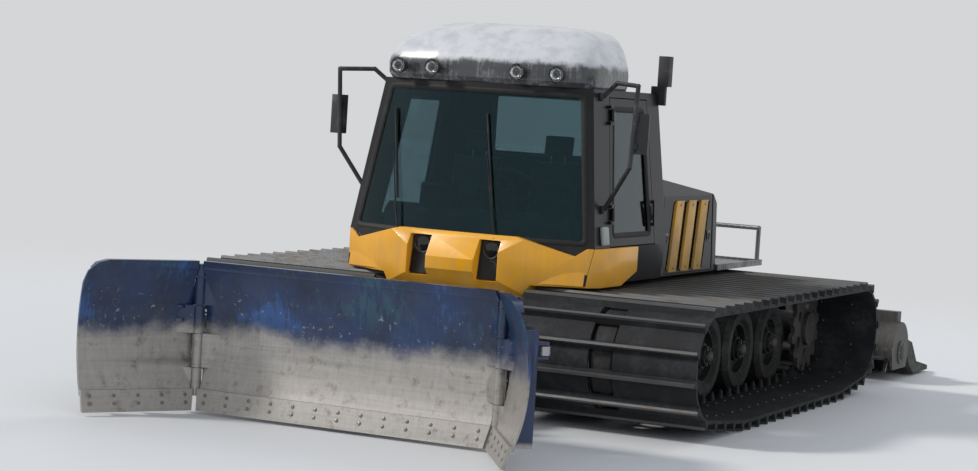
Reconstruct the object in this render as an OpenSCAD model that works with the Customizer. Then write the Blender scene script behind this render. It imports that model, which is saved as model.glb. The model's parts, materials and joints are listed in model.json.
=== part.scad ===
// Snow groomer: tracked carrier with a glazed cab, a front blade with folding wings and a rear tiller.
// The front is -Y, the machine's left side is +X, +Z is up and the ground is z = 0.
// Lengthwise positions are measured from the middle of the track and moved as one by machine_y.

/* [Tracks] */
// Distance between the two tracks
track_between = 1240; // [1200:10:1320]
// Width of one track
track_w = 1480; // [1200:20:1500]
// Height of a track over its lugs
track_h = 970; // [900:10:1100]
// Front tension wheel, distance ahead of the middle
idler_y = 1990; // [1800:10:2200]
// Rear drive sprocket, distance behind the middle
sprocket_y = 1800; // [1700:10:2000]
// Radius of the end wheels
end_wheel_r = 370; // [340:5:390]
// Thickness of the rubber belts
belt_t = 25; // [18:1:35]
// Height of the cross bars over the belts
lug_h = 55; // [35:1:75]
// Number of cross bars on one track
lug_count = 50; // [40:1:72]
// Width of a cross bar at its foot
lug_foot = 66; // [40:1:80]
// Width of a cross bar at its tip
lug_tip = 16; // [8:1:30]

/* [Wheels] */
// Radius of the road wheels
road_wheel_r = 350; // [300:5:360]
// Number of road wheels on one side
road_count = 4; // [3:1:4]
// Distance between the first and the last road wheel
road_span = 2400; // [2000:20:2600]
// Width of a tyre
tyre_w = 220; // [160:5:260]
// Radius of the rims
rim_r = 215; // [180:5:240]
// Radius of the stub axles
stub_r = 40; // [30:1:50]
// Radius of the suspension tubes at the chassis
arm_tube_r = 50; // [40:1:60]
// How far the suspension tubes sit behind their wheels
arm_y = 190; // [120:5:230]
// How far the suspension tubes sit above their wheels
arm_z = 120; // [60:5:150]

/* [Chassis] */
// Gap between the chassis tub and a track
tub_gap = 80; // [70:5:110]
// Ground clearance under the tub
belly_z = 330; // [280:10:400]
// Height of the deck that carries the cab and the engine cover
deck_z = 1000; // [985:5:1060]
// Front face of the tub, distance ahead of the middle
chassis_front = 1900; // [1800:10:2000]
// Rear face of the tub, distance behind the middle
chassis_rear = 2150; // [2050:10:2250]
// Height of the tub under the nose
fore_deck_z = 800; // [760:10:820]
// Rear end of the low deck under the nose, distance ahead of the middle
fore_deck_y = 1400; // [1300:10:1500]

/* [Cab] */
// Front of the windshield at the belt line, distance ahead of the middle
cab_front = 1950; // [1850:10:2000]
// Rear wall of the cab, distance ahead of the middle
cab_rear = 300; // [250:10:400]
// Half width of the cab at the floor
cab_floor_hw = 985; // [940:5:1000]
// Half width of the cab at the belt line
cab_belt_hw = 1020; // [980:5:1050]
// Half width of the cab under the roof
cab_top_hw = 865; // [800:5:900]
// Height of the belt line
belt_z = 1280; // [1240:5:1320]
// Height of the cab body under the roof fairing
cab_top_z = 2450; // [2350:10:2500]
// Thickness of the cab walls and doors
wall_t = 50; // [35:1:60]
// Lean of the windshield in degrees
shield_lean = 10.5; // [6:0.5:14]
// Bow radius of the windshield
shield_r = 2600; // [2200:50:3200]
// Thickness of the window glass
glass_t = 8; // [5:1:12]
// Width of the front pillars
pillar_w = 62; // [45:1:90]
// Height of the roof fairing's crown
roof_z = 2910; // [2800:10:2950]
// Radius of the steering wheel
steering_r = 190; // [160:5:220]

/* [Doors] */
// Front edge of a door at its sill, distance ahead of the middle
door_front = 1480; // [1400:10:1520]
// Rear edge of a door, distance ahead of the middle
door_rear = 560; // [480:10:640]
// Backward lean of a door's front edge over its height
door_lean = 160; // [100:5:180]
// Gap round a door
door_gap = 8; // [7:0.5:10]
// Width of a door's frame round its window
door_frame = 75; // [60:1:100]

/* [Nose] */
// Foremost point of the nose, distance ahead of the middle
nose_front = 2120; // [2060:10:2180]
// Half width of the beak in the middle of the nose
beak_hw = 185; // [150:5:300]
// Width of the lamp recess beside the beak
recess_w = 200; // [150:5:240]
// Depth of the lamp recess
recess_d = 150; // [100:5:180]
// Underside of the beak
nose_z = 835; // [825:5:860]
// Height of the beak's foremost edge
beak_edge_z = 1050; // [1000:5:1100]
// Rear end of the side panels, distance ahead of the middle
nose_side_rear = 980; // [900:10:1050]
// How far the nose's side panels stand proud of the cab
nose_proud = 32; // [20:2:60]
// Top of the nose under the windshield
nose_top = 1330; // [1290:5:1360]
// Half width of the nose's high middle
nose_hump = 480; // [400:10:600]
// Underside of the side panels at their rear ends
nose_tail_z = 1085; // [1020:5:1120]

/* [Engine] */
// Rear end of the engine cover, distance behind the middle
cover_rear = 1060; // [1000:10:1200]
// Height of the engine cover at the cab
cover_front_z = 1800; // [1700:10:1850]
// Height of the engine cover at its rear
cover_rear_z = 1640; // [1500:10:1700]
// Half width of the engine cover
cover_hw = 965; // [900:5:1000]
// Half width of the fixed spine between the two flaps
spine_hw = 250; // [200:5:300]
// Number of louvre slats on each flap
slat_count = 3; // [2:1:5]
// Width of a louvre slat
slat_w = 165; // [90:5:190]

/* [Blade] */
// Half width of the middle blade, to its wing hinges
blade_hw = 1175; // [1050:5:1300]
// Back of the mouldboard, distance ahead of the middle
blade_y = 3600; // [3500:10:3750]
// Height of the top edge of the blade
blade_top = 1075; // [950:5:1150]
// Height of the cutting edge over the ground, parked
edge_z = 25; // [10:1:60]
// Curve radius of the mouldboard
blade_r = 1150; // [1000:10:1600]
// Thickness of the mouldboard
board_t = 20; // [12:1:30]
// Length of a wing from its hinge
wing_l = 880; // [700:10:950]
// How far the wings are folded forward, parked
wing_fold = 58; // [40:1:60]
// Depth of the box beam behind the mouldboard
beam_d = 170; // [120:5:200]

/* [Push frame] */
// Pivot of the push frame, distance ahead of the middle
push_y = 1980; // [1975:5:2020]
// Height of the push frame's pivot
push_z = 400; // [380:5:440]
// Distance of each arm from the middle plane
push_x = 300; // [280:5:330]
// Width of an arm
push_arm_w = 90; // [60:5:100]
// Turning pin of the blade, distance ahead of the middle
turn_y = 3000; // [2950:5:3050]
// Height of the tilting pin of the blade
tilt_z = 520; // [480:5:560]

/* [Tiller] */
// Width of the tiller
tiller_w = 4100; // [3600:20:4200]
// Pivot of the rear lift frame, distance behind the middle
rear_pivot_y = 2230; // [2215:5:2260]
// Height of the rear lift frame's pivot
rear_pivot_z = 480; // [440:5:520]
// Rotor shaft, distance behind the middle
rotor_y = 3180; // [3120:10:3240]
// Height of the rotor shaft
rotor_z = 262; // [240:2:300]
// Radius to the tips of the rotor's teeth
tooth_r = 215; // [190:1:225]
// Radius of the rotor's tube
rotor_r = 90; // [70:1:110]
// Rings of teeth on one rotor half
tooth_rings = 12; // [8:1:16]
// Rear end of the finisher mat, distance behind the middle
finisher_end = 4250; // [4100:10:4350]
// Number of ridges that the finisher presses
ridge_count = 40; // [30:1:60]

/* [Hidden] */
$fn = 40;

// Running clearances
turn_gap = 0.5;
side_gap = 5;
fit_gap = 0.3;
tread_gap = 0.4;

// Track layout
track_inner = track_between / 2;
track_outer = track_inner + track_w;
track_mid = (track_outer + track_inner) / 2;
end_z = track_h - lug_h - belt_t - end_wheel_r;
road_z = lug_h + belt_t + road_wheel_r;
road_first = -road_span / 2 - 20;
road_step = road_span / (road_count - 1);
// Columns: lengthwise place, height and radius of the four wheels that shape the belt
belt_wheels = [
  [road_first, road_z, road_wheel_r],
  [road_first + road_span, road_z, road_wheel_r],
  [sprocket_y, end_z, end_wheel_r],
  [-idler_y, end_z, end_wheel_r]
];
chassis_hw = track_inner - tub_gap;

// Wing geometry, folded about an upright pin in the middle of the mouldboard's curve
board_top_z = blade_top;
board_mid_z = (blade_top + edge_z) / 2 + 20;
board_half = blade_top - board_mid_z;
board_sag = blade_r - sqrt(blade_r * blade_r - board_half * board_half);
wing_pin_y = -blade_y - board_sag / 2;
wing_pin_r = 24;
wing_knuckle_r = 40;
edge_out = 22;
corner_r = 160;

// Overall length and the shift that centres it on the origin
machine_front = wing_pin_y - wing_l * sin(wing_fold) - (board_sag / 2 + edge_out) * cos(wing_fold);
machine_rear = finisher_end;
machine_y = -(machine_front + machine_rear) / 2;

// Colours
yellow = [0.93, 0.68, 0.05];
black = [0.08, 0.08, 0.09];
dark_grey = [0.2, 0.2, 0.22];
steel = [0.6, 0.6, 0.62];
blue = [0.06, 0.2, 0.48];
rubber = [0.06, 0.06, 0.06];
glass = [0.2, 0.26, 0.28];

// Helpers

// Puts a piece that is measured from the middle of the track into the frame
module machine() {
  translate([0, machine_y, 0]) children();
}

// Extrudes a drawing in Y and Z along X
module along_x(x0, x1) {
  translate([x0, 0, 0]) rotate([90, 0, 90]) linear_extrude(x1 - x0) children();
}

// Extrudes a drawing in X and Z along Y
module along_y(y0, y1) {
  translate([0, y1, 0]) rotate([90, 0, 0]) linear_extrude(y1 - y0) children();
}

// A round bar along X
module bar_x(x0, x1, y, z, r) {
  translate([x0, y, z]) rotate([0, 90, 0]) cylinder(h = x1 - x0, r = r);
}

// A round bar along Y
module bar_y(y0, y1, x, z, r) {
  translate([x, y1, z]) rotate([90, 0, 0]) cylinder(h = y1 - y0, r = r);
}

// A block from its lowest to its highest corner
module block(low, high) {
  translate(low) cube(high - low);
}

// Mirrors a piece to the other side as well
module both_sides() {
  children();
  mirror([1, 0, 0]) children();
}

// Turns a piece drawn along +Z so that it runs from p towards q
module aimed(p, q) {
  d = q - p;
  translate(p) rotate([0, acos(d[2] / norm(d)), atan2(d[1], d[0])]) children();
}

// A tube through a list of points, with round knees
module tube(points, r) {
  for (i = [0:len(points) - 2]) {
    aimed(points[i], points[i + 1]) cylinder(h = norm(points[i + 1] - points[i]), r = r);
  }
  for (i = [1:len(points) - 2]) {
    translate(points[i]) sphere(r = r + 1);
  }
}

// A plate that joins two round bosses, drawn in a plane
module link(a, b, width) {
  d = b - a;
  translate(a) rotate(atan2(d[1], d[0])) translate([0, 3 - width / 2]) square([norm(d), width - 6]);
  translate(a) circle(r = width / 2);
  translate(b) circle(r = width / 2);
}

// Belt loop

// Direction of the outward normal on the straight run from wheel a to wheel b
function run_angle(a, b) =
  atan2(b[1] - a[1], b[0] - a[0]) - 90 + asin((a[2] - b[2]) / norm([b[0] - a[0], b[1] - a[1]]));
// An angle raised by full turns until it is not below another
function not_below(angle, least) = angle < least ? not_below(angle + 360, least) : angle;
function wheel_at(i) = belt_wheels[(i + 4) % 4];
function arc_from(i) = run_angle(wheel_at(i - 1), wheel_at(i));
function arc_to(i) = not_below(run_angle(wheel_at(i), wheel_at(i + 1)), arc_from(i));
function spot(i, r, angle) =
  [wheel_at(i)[0] + r * cos(angle), wheel_at(i)[1] + r * sin(angle)];
// Closed outline of the loop at a height over the wheels' treads, with flats that touch the round
function arc_steps(i) = ceil((arc_to(i) - arc_from(i)) / 18);
function loop_outline(height) = [
  for (i = [0:3])
    let (steps = arc_steps(i), turn = (arc_to(i) - arc_from(i)) / steps)
      for (k = [0:steps - 1])
        spot(i, (wheel_at(i)[2] + height) / cos(turn / 2), arc_from(i) + (k + 0.5) * turn)
];
function arc_length(i, height) =
  (wheel_at(i)[2] + height) * (arc_to(i) - arc_from(i)) * PI / 180;
function run_length(i, height) =
  norm(spot(i + 1, wheel_at(i + 1)[2] + height, arc_from(i + 1))
    - spot(i, wheel_at(i)[2] + height, arc_to(i)));
function loop_length(height, i = 0) =
  i == 4 ? 0 : arc_length(i, height) + run_length(i, height) + loop_length(height, i + 1);
// Place and outward angle at a distance along the loop: [y, z, angle]
function loop_spot(s, height, i = 0) =
  s <= arc_length(i, height)
    ? let (angle = arc_from(i) + s / (wheel_at(i)[2] + height) * 180 / PI)
      [each spot(i, wheel_at(i)[2] + height, angle), angle]
    : s <= arc_length(i, height) + run_length(i, height)
      ? let (t = s - arc_length(i, height), start = spot(i, wheel_at(i)[2] + height, arc_to(i)))
        [start[0] - t * sin(arc_to(i)), start[1] + t * cos(arc_to(i)), arc_to(i)]
      : loop_spot(s - arc_length(i, height) - run_length(i, height), height, i + 1);
// The four corners of one cross bar
function lug_corners(p) =
  let (out = [cos(p[2]), sin(p[2])], ahead = [-sin(p[2]), cos(p[2])], foot = [p[0], p[1]])
  [
    foot - ahead * lug_foot / 2,
    foot - ahead * lug_tip / 2 + out * (lug_h + bar_sink),
    foot + ahead * lug_tip / 2 + out * (lug_h + bar_sink),
    foot + ahead * lug_foot / 2
  ];

// Belts of one track, as [start, end] across the track
belt_gap = 190;
belts = [[12, track_w / 2 - belt_gap / 2], [track_w / 2 + belt_gap / 2, track_w - 12]];
bar_sink = 6;
// The cross bars' outlines, let into the belts a little
module lug_bars() {
  for (k = [0:lug_count - 1]) {
    polygon(lug_corners(loop_spot((k + 0.5) * loop_length(belt_t) / lug_count, belt_t - bar_sink)));
  }
}

// One track: belts round the wheels, joined by the cross bars
module track() color(rubber) {
  along_x(track_inner, track_outer) lug_bars();
  for (belt = belts) {
    along_x(track_inner + belt[0], track_inner + belt[1]) difference() {
      polygon(loop_outline(belt_t));
      polygon(loop_outline(0));
    }
  }
}
module track_left() machine() track();
module track_right() machine() mirror([1, 0, 0]) track();

// Wheels

function road_y(i) = road_first + i * road_step;

module tyre_and_rim(y, z, r) {
  tread_r = r - tread_gap;
  shoulder = 38;
  bead = 30;
  hw = tyre_w / 2;
  translate([track_mid, y, z]) rotate([0, 90, 0]) {
    color(rubber) rotate_extrude() polygon([
      [rim_r, bead - hw], [rim_r + bead, -hw], [tread_r - shoulder, -hw], [tread_r, shoulder - hw],
      [tread_r, hw - shoulder], [tread_r - shoulder, hw], [rim_r + bead, hw], [rim_r, hw - bead]
    ]);
    color(steel) difference() {
      union() {
        rotate_extrude() difference() {
          translate([stub_r + fit_gap, -80]) square([rim_r - stub_r - fit_gap, 160]);
          translate([stub_r + 60, 20]) square([rim_r - stub_r - 78, 100]);
          translate([stub_r + 60, -120]) square([rim_r - stub_r - 78, 110]);
        }
        translate([0, 0, 60]) cylinder(h = 50, r = stub_r + 40);
      }
      for (k = [0:4]) {
        rotate(k * 72) translate([(rim_r + stub_r + 22) / 2, 0, -50]) cylinder(h = 120, r = 24);
      }
      translate([0, 0, -130]) cylinder(h = 220, r = stub_r + fit_gap);
    }
  }
}

module wheels() {
  for (i = [0:road_count - 1]) {
    tyre_and_rim(road_y(i), road_z, road_wheel_r);
  }
  tyre_and_rim(-idler_y, end_z, end_wheel_r);
}
module wheels_left() machine() wheels();
module wheels_right() machine() mirror([1, 0, 0]) wheels();

// Stub axles on trailing arms, and the straight axles of the end wheels
module axles() machine() color(dark_grey) both_sides() {
  arm_x = track_inner + 90;
  arm_t = 60;
  stub_end = track_mid + 85;
  for (i = [0:road_count - 1]) {
    hub = [road_y(i), road_z];
    tube_at = hub + [arm_y, arm_z];
    bar_x(chassis_hw, arm_x + arm_t, tube_at[0], tube_at[1], arm_tube_r);
    along_x(arm_x, arm_x + arm_t) link(tube_at, hub, 2 * arm_tube_r + 16);
    bar_x(arm_x, stub_end, hub[0], hub[1], stub_r);
  }
  bar_x(chassis_hw, stub_end, -idler_y, end_z, stub_r);
}

// Drive sprockets: two toothed discs on a drum, with the final drive at the chassis
module sprockets() {
  teeth = 14;
  disc_t = 40;
  tip_r = end_wheel_r - tread_gap;
  root_r = tip_r - 55;
  disc_outline = [
    for (k = [0:teeth - 1])
      for (c = [[-9, root_r], [-5, tip_r], [5, tip_r], [9, root_r]])
        let (a = k * 360 / teeth + c[0]) [c[1] * cos(a), c[1] * sin(a)]
  ];
  color(dark_grey) {
    for (x = [-210, 170]) {
      translate([track_mid + x, sprocket_y, end_z]) rotate([0, 90, 0]) difference() {
        linear_extrude(disc_t) polygon(disc_outline);
        for (k = [0:5]) {
          rotate(k * 60) translate([215, 0, -1]) cylinder(h = disc_t + 2, r = 48);
        }
      }
    }
    bar_x(track_mid - 290, track_mid + 250, sprocket_y, end_z, 140);
    bar_x(chassis_hw, track_mid - 290, sprocket_y, end_z, 175);
  }
}
module sprockets_left() machine() sprockets();
module sprockets_right() machine() mirror([1, 0, 0]) sprockets();

// Chassis

// Pivots of the cylinders and frames, as [y, z] in the side view
push_pin = [-push_y, push_z];
push_pin_r = 32;
lift_base = [-push_y + 20, 700];
lift_eye = [-2700, 700];
lift_x = 140;
cyl_pin_r = 22;
cyl_eye_w = 60;
rear_pin = [rear_pivot_y, rear_pivot_z];
rear_x = 300;
rear_base = [chassis_rear + 65, 925];
rear_eye = [rear_pivot_y + 560, rear_pivot_z + 220];
rear_cyl_x = 140;
clevis_t = 20;

// A pair of lug plates with their pin, round an eye of a given width at x
module clevis(x, eye_w, back, pin, pin_r, boss_r) {
  for (side = [-1, 1]) {
    inner = eye_w / 2 + side_gap;
    x0 = side > 0 ? x + inner : x - inner - clevis_t;
    along_x(x0, x0 + clevis_t) link(back, pin, 2 * boss_r);
  }
  bar_x(x - eye_w / 2 - side_gap - clevis_t, x + eye_w / 2 + side_gap + clevis_t, pin[0], pin[1], pin_r);
}

engine_side = 140;
engine_low = [engine_side - chassis_hw, -150, 620];
engine_high = [chassis_hw - engine_side, 860, 1500];
bay_gap = 30;

module chassis() machine() color(black) {
  difference() {
    along_x(-chassis_hw, chassis_hw) polygon([
      [-chassis_front, belly_z + 110], [-chassis_front + 160, belly_z],
      [chassis_rear - 180, belly_z], [chassis_rear, belly_z + 120],
      [chassis_rear, deck_z], [-fore_deck_y, deck_z],
      [-fore_deck_y, fore_deck_z], [-chassis_front, fore_deck_z]
    ]);
    block(
      engine_low - [bay_gap, bay_gap, 0],
      [engine_high[0] + bay_gap, engine_high[1] + bay_gap, deck_z + 1]
    );
  }
  difference() {
    union() {
      both_sides() {
        clevis(push_x, push_arm_w, push_pin + [110, 0], push_pin, push_pin_r, 60);
        clevis(lift_x, cyl_eye_w, lift_base + [80, 0], lift_base, cyl_pin_r, 42);
        clevis(rear_x, push_arm_w, rear_pin - [110, 0], rear_pin, push_pin_r, 60);
        clevis(rear_cyl_x, cyl_eye_w, rear_base - [90, 0], rear_base, cyl_pin_r, 42);
      }
      // Tow jaw at the rear
      block([-70, chassis_rear, 560], [70, chassis_rear + 90, 640]);
    }
    block([-75, chassis_rear + 15, 585], [75, chassis_rear + 95, 615]);
    translate([0, chassis_rear + 55, 500]) cylinder(h = 200, r = 20);
  }
  // Outriggers that carry the cab and the platform over the tracks
  for (y = [-900, -380, 1260, 2050]) {
    both_sides() block([chassis_hw, y, deck_z - 25], [track_inner - 10, y + 60, deck_z]);
  }
}

// Cab

// The cab's outer form drawn in by a wall thickness: leaning sides, a bowed leaning windshield, a flat rear
module cab_form(t) {
  intersection() {
    cab_sides(t);
    cab_bow(t);
  }
}
module cab_sides(t) {
  along_y(-3000, -cab_rear - t) polygon([
    [-cab_floor_hw + t, deck_z + t], [cab_floor_hw - t, deck_z + t],
    [cab_belt_hw - t, belt_z], [cab_top_hw - t, cab_top_z - t],
    [-cab_top_hw + t, cab_top_z - t], [-cab_belt_hw + t, belt_z]
  ]);
}
module cab_bow(t) {
  translate([0, -cab_front + shield_r, belt_z]) rotate([-shield_lean, 0, 0])
    translate([0, 0, -1500]) cylinder(h = 4000, r = shield_r - t, $fn = 120);
}

// Door opening in the side view, drawn in by a margin
module door_outline(m) {
  sill = belt_z + 5;
  head = cab_top_z - 60;
  polygon([
    [-door_front + m, sill + m], [-door_rear - m, sill + m],
    [-door_rear - m, head - m], [-door_front + door_lean + m, head - m]
  ]);
}

// Windshield opening in the front view, drawn in by a margin
module shield_outline(m) {
  low = cab_belt_hw - pillar_w - m;
  high = cab_top_hw - pillar_w - m;
  polygon([
    [-low, belt_z + 25 + m], [low, belt_z + 25 + m],
    [high, cab_top_z - 55 - m], [-high, cab_top_z - 55 - m]
  ]);
}

rear_window = [[-540, 1890], [540, 2380]];
module rear_window_outline(m) {
  translate(rear_window[0] + [m, m]) square(rear_window[1] - rear_window[0] - [2 * m, 2 * m]);
}

module cab_shell() machine() color(black) {
  difference() {
    cab_form(0);
    cab_form(wall_t);
    both_sides() along_x(0, 1200) door_outline(-door_gap);
    along_y(-3000, -cab_front + 700) shield_outline(0);
    along_y(-cab_rear - wall_t - 1, -cab_rear + 1) rear_window_outline(0);
  }
  // Door hinges: a pin held by a lug over and under each knuckle of the door
  both_sides() for (z = door_hinge_z) {
    aimed(hinge_spot(z - 20), hinge_spot(z)) cylinder(h = 132, r = hinge_pin_r);
    for (low = [z - 28, z + 94]) {
      at = hinge_spot(low + 11);
      block([at[0] - 9, at[1] - 44, low], [at[0] + 12, at[1] + 10, low + 22]);
      block([at[0] - 26, at[1] - 56, low], [at[0] + 12, at[1] - 30, low + 22]);
    }
  }
}

module cab_glass() machine() color(glass) {
  intersection() {
    difference() {
      cab_form(12);
      cab_form(12 + glass_t);
    }
    along_y(-3000, -cab_front + 700) shield_outline(fit_gap);
  }
  along_y(-cab_rear - 20 - glass_t, -cab_rear - 20) rear_window_outline(fit_gap);
}

// Hinge line of the left door: a point at the sill and the direction of the leaning front edge
side_rise = cab_top_z - belt_z;
hinge_out = 16;
hinge_pin_r = 7;
door_hinge_z = [1480, 2220];
door_head_z = cab_top_z - 60;
function side_x(z) = cab_belt_hw + (cab_top_hw - cab_belt_hw) * (z - belt_z) / side_rise;
function door_edge_y(z) = -door_front + door_lean * (z - belt_z - 5) / (door_head_z - belt_z - 5);
function hinge_spot(z) = [side_x(z) + hinge_out, door_edge_y(z) + 16, z];

module door() {
  color(black) difference() {
    intersection() {
      difference() {
        cab_form(0);
        cab_form(wall_t);
      }
      along_x(0, 1200) door_outline(0);
    }
    along_x(0, 1200) door_outline(door_frame);
  }
  // Hinge knuckles, standing on the outer skin
  color(black) for (z = door_hinge_z) {
    difference() {
      union() {
        aimed(hinge_spot(z), hinge_spot(z + 10)) cylinder(h = 86, r = 14);
        aimed(hinge_spot(z) + [-14, 14, 0], hinge_spot(z + 10) + [-14, 14, 0]) cylinder(h = 86, r = 13);
      }
      aimed(hinge_spot(z - 10), hinge_spot(z)) cylinder(h = 110, r = hinge_pin_r + turn_gap);
    }
  }
  // Grab handle near the rear edge
  color(dark_grey) translate([side_x(1420), -door_rear - 45, 1420]) {
    rotate([0, -4, 0]) translate([8, 0, 0]) {
      translate([-12, -14, 0]) cube([30, 28, 26]);
      translate([-12, -14, 174]) cube([26, 28, 26]);
      translate([8, -14, 0]) cube([14, 28, 200]);
    }
  }
}
module door_glass() color(glass) intersection() {
  difference() {
    cab_form(18);
    cab_form(18 + glass_t);
  }
  along_x(0, 1200) door_outline(door_frame + fit_gap);
}
module door_left() machine() door();
module door_right() machine() mirror([1, 0, 0]) door();
module door_glass_left() machine() door_glass();
module door_glass_right() machine() mirror([1, 0, 0]) door_glass();

// Roof fairing: a domed crown over a visor that overhangs the windshield, narrowing to the rear
roof_base_z = cab_top_z + fit_gap;
roof_front = -cab_front + 140;
roof_rear = -cab_rear - 20;
roof_hw = cab_top_hw;
// Plan of the fairing, as columns: the corner circle's place sideways and behind the front, and its radius
roof_corners = [[360, 172, 160], [roof_hw - 200, 260, 200], [roof_hw - 220, 820, 220]];
roof_rear_hw = 600;
module roof_plan(m) {
  shrink = 1 - m / 900;
  hull() for (side = [-1, 1]) {
    for (c = roof_corners) {
      translate([side * c[0] * shrink, roof_front + m + c[1]]) circle(r = c[2] * shrink, $fn = 28);
    }
    translate([side * (roof_rear_hw * shrink - 90), roof_rear - 90 - m * 0.7]) circle(r = 90, $fn = 16);
  }
}
// Columns: height over the cab's top, as a part of the fairing's height, and how far the plan is drawn in
roof_layers = [[0, 25], [0.08, 4], [0.25, 0], [0.36, 10], [0.52, 42], [0.68, 95], [0.82, 170], [0.93, 270], [1, 420]];
module cab_roof() machine() color([0.75, 0.76, 0.77]) {
  rise = roof_z - roof_base_z - 2;
  for (k = [0:len(roof_layers) - 2]) hull() {
    for (layer = [roof_layers[k], roof_layers[k + 1]]) {
      translate([0, 0, roof_base_z + layer[0] * rise]) linear_extrude(2) roof_plan(layer[1]);
    }
  }
}

// Work lamps on the visor, each on a short stalk, and the two lamps on the rear corners
// Columns: place sideways, and how far the visor's face lies behind its foremost line
work_lamps = [[350, 12], [655, 53]];
lamp_r = 60;
module roof_lamps() machine() color(dark_grey) both_sides() {
  for (lamp = work_lamps) {
    face = roof_front + lamp[1];
    translate([lamp[0], face - fit_gap, cab_top_z + 92]) rotate([90, 0, 0]) {
      cylinder(h = 34, r = 26);
      translate([0, 0, 30]) cylinder(h = 60, r1 = lamp_r - 12, r2 = lamp_r);
    }
  }
  block([cab_top_hw - 60, -cab_rear, cab_top_z - 90], [cab_top_hw + 60, -cab_rear + 40, cab_top_z + 60]);
  block([cab_top_hw - 10, -cab_rear, cab_top_z + 60], [cab_top_hw + 80, -cab_rear + 90, cab_top_z + 300]);
}

// Nose: a beak in the middle, a lamp recess on each side and panels that sweep back along the cab
module nose_plan() {
  recess_outer = [beak_hw + recess_w, -nose_front + 45];
  corner = [cab_belt_hw - 25, -cab_front + 120];
  side = [cab_belt_hw + nose_proud, -cab_front + 230];
  side_end = [cab_belt_hw + nose_proud, -nose_side_rear];
  half = [[beak_hw, -nose_front], recess_outer, corner, side, side_end];
  polygon([each half, for (i = [len(half) - 1:-1:0]) [-half[i][0], half[i][1]]]);
}
// Where the nose's top edge dips at its front corners, as [x, z]
nose_corner = [960, 1215];
// The nose before the cab and the chassis are let into it
module nose_block() {
  under_hw = track_inner - 110;
  over_track = [track_inner - 15, track_h + 12];
  intersection() {
    translate([0, 0, nose_z]) linear_extrude(nose_top - nose_z) nose_plan();
    along_x(-1100, 1100) polygon([
      [-nose_side_rear, belt_z - 5], [-cab_front + 260, belt_z - 5], [-cab_front + 120, nose_top],
      [-nose_front + 120, nose_top], [-nose_front, beak_edge_z + 90], [-nose_front, beak_edge_z],
      [-nose_front + 180, nose_z], [-cab_front + 160, nose_z], [-nose_side_rear, nose_tail_z]
    ]);
    along_y(-3000, 0) polygon([
      [-under_hw, nose_z], [under_hw, nose_z], over_track, [1100, track_h + 18],
      [1100, belt_z - 5], [nose_corner[0] + 20, belt_z - 5], [nose_corner[0] - 60, nose_corner[1]], [nose_hump, nose_top],
      [-nose_hump, nose_top], [60 - nose_corner[0], nose_corner[1]], [-nose_corner[0] - 20, belt_z - 5], [-1100, belt_z - 5],
      [-1100, track_h + 18], [-over_track[0], over_track[1]]
    ]);
  }
}
module nose() machine() color(yellow) difference() {
  union() {
    difference() {
      nose_block();
      cab_bow(-fit_gap);
    }
    difference() {
      nose_block();
      cab_sides(-fit_gap);
    }
  }
  // Lamp recesses
  both_sides() block(
    [beak_hw + 12, -3000, beak_edge_z - 60],
    [beak_hw + recess_w - 12, -nose_front + recess_d, belt_z + 10]
  );
  // Room over the chassis
  block([-chassis_hw - 2, -fore_deck_y - 2, fore_deck_z - 100], [chassis_hw + 2, 0, nose_top + 70]);
}

// Dashboard with the steering column, and a console beside the driver
driver_x = 150;
floor_z = deck_z + wall_t;
dash_y = 310 - cab_front;
column_low = [driver_x, dash_y + 80, floor_z + 430];
column_high = [driver_x, dash_y + 240, floor_z + 610];
wheel_lift = 8;
module dashboard() machine() color(dark_grey) {
  difference() {
    along_x(-780, 780) polygon([
      [dash_y, floor_z], [dash_y + 160, floor_z], [dash_y + 120, floor_z + 280],
      [dash_y + 140, floor_z + 380], [dash_y + 20, floor_z + 450], [dash_y - 60, floor_z + 380]
    ]);
    // Room for the driver's feet
    block([driver_x - 350, dash_y + 80, deck_z], [driver_x + 350, dash_y + 340, floor_z + 250]);
  }
  aimed(column_low + [0, -20, -40], column_high) cylinder(h = norm(column_high - column_low) + 44, r = 28);
  // Armrest console on the driver's right
  along_x(driver_x - 400, driver_x - 290) polygon([
    [dash_y + 460, floor_z], [dash_y + 820, floor_z], [dash_y + 820, floor_z + 430],
    [dash_y + 400, floor_z + 450], [dash_y + 400, floor_z + 370]
  ]);
}

module steering_wheel() machine() color(rubber) {
  aimed(column_high, column_high * 2 - column_low) translate([0, 0, wheel_lift]) {
    translate([0, 0, 24]) difference() {
      rotate_extrude() translate([steering_r - 16, 0]) circle(r = 16);
    }
    for (a = [30, 150, 270]) {
      rotate(a) translate([20, -14, 16]) cube([steering_r - 32, 28, 14]);
    }
    cylinder(h = 34, r = 34);
  }
}

// Seats: cushion, back and headrest on a base
module seat(x) {
  base_z = deck_z + wall_t;
  color(black) {
    block([x - 150, -950, base_z], [x + 150, -700, base_z + 180]);
    along_x(x - 230, x + 230) polygon([
      [-1080, base_z + 180], [-620, base_z + 180], [-520, base_z + 830], [-600, base_z + 850],
      [-690, base_z + 330], [-1060, base_z + 340], [-1100, base_z + 280]
    ]);
    along_x(x - 130, x + 130) polygon([
      [-505, base_z + 850], [-485, base_z + 1000], [-560, base_z + 1020], [-590, base_z + 860]
    ]);
    for (s = [-60, 60]) {
      translate([x + s, -548, base_z + 800]) cylinder(h = 90, r = 8);
    }
  }
}
module seats() machine() {
  seat(driver_x);
  seat(driver_x - 690);
}

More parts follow.
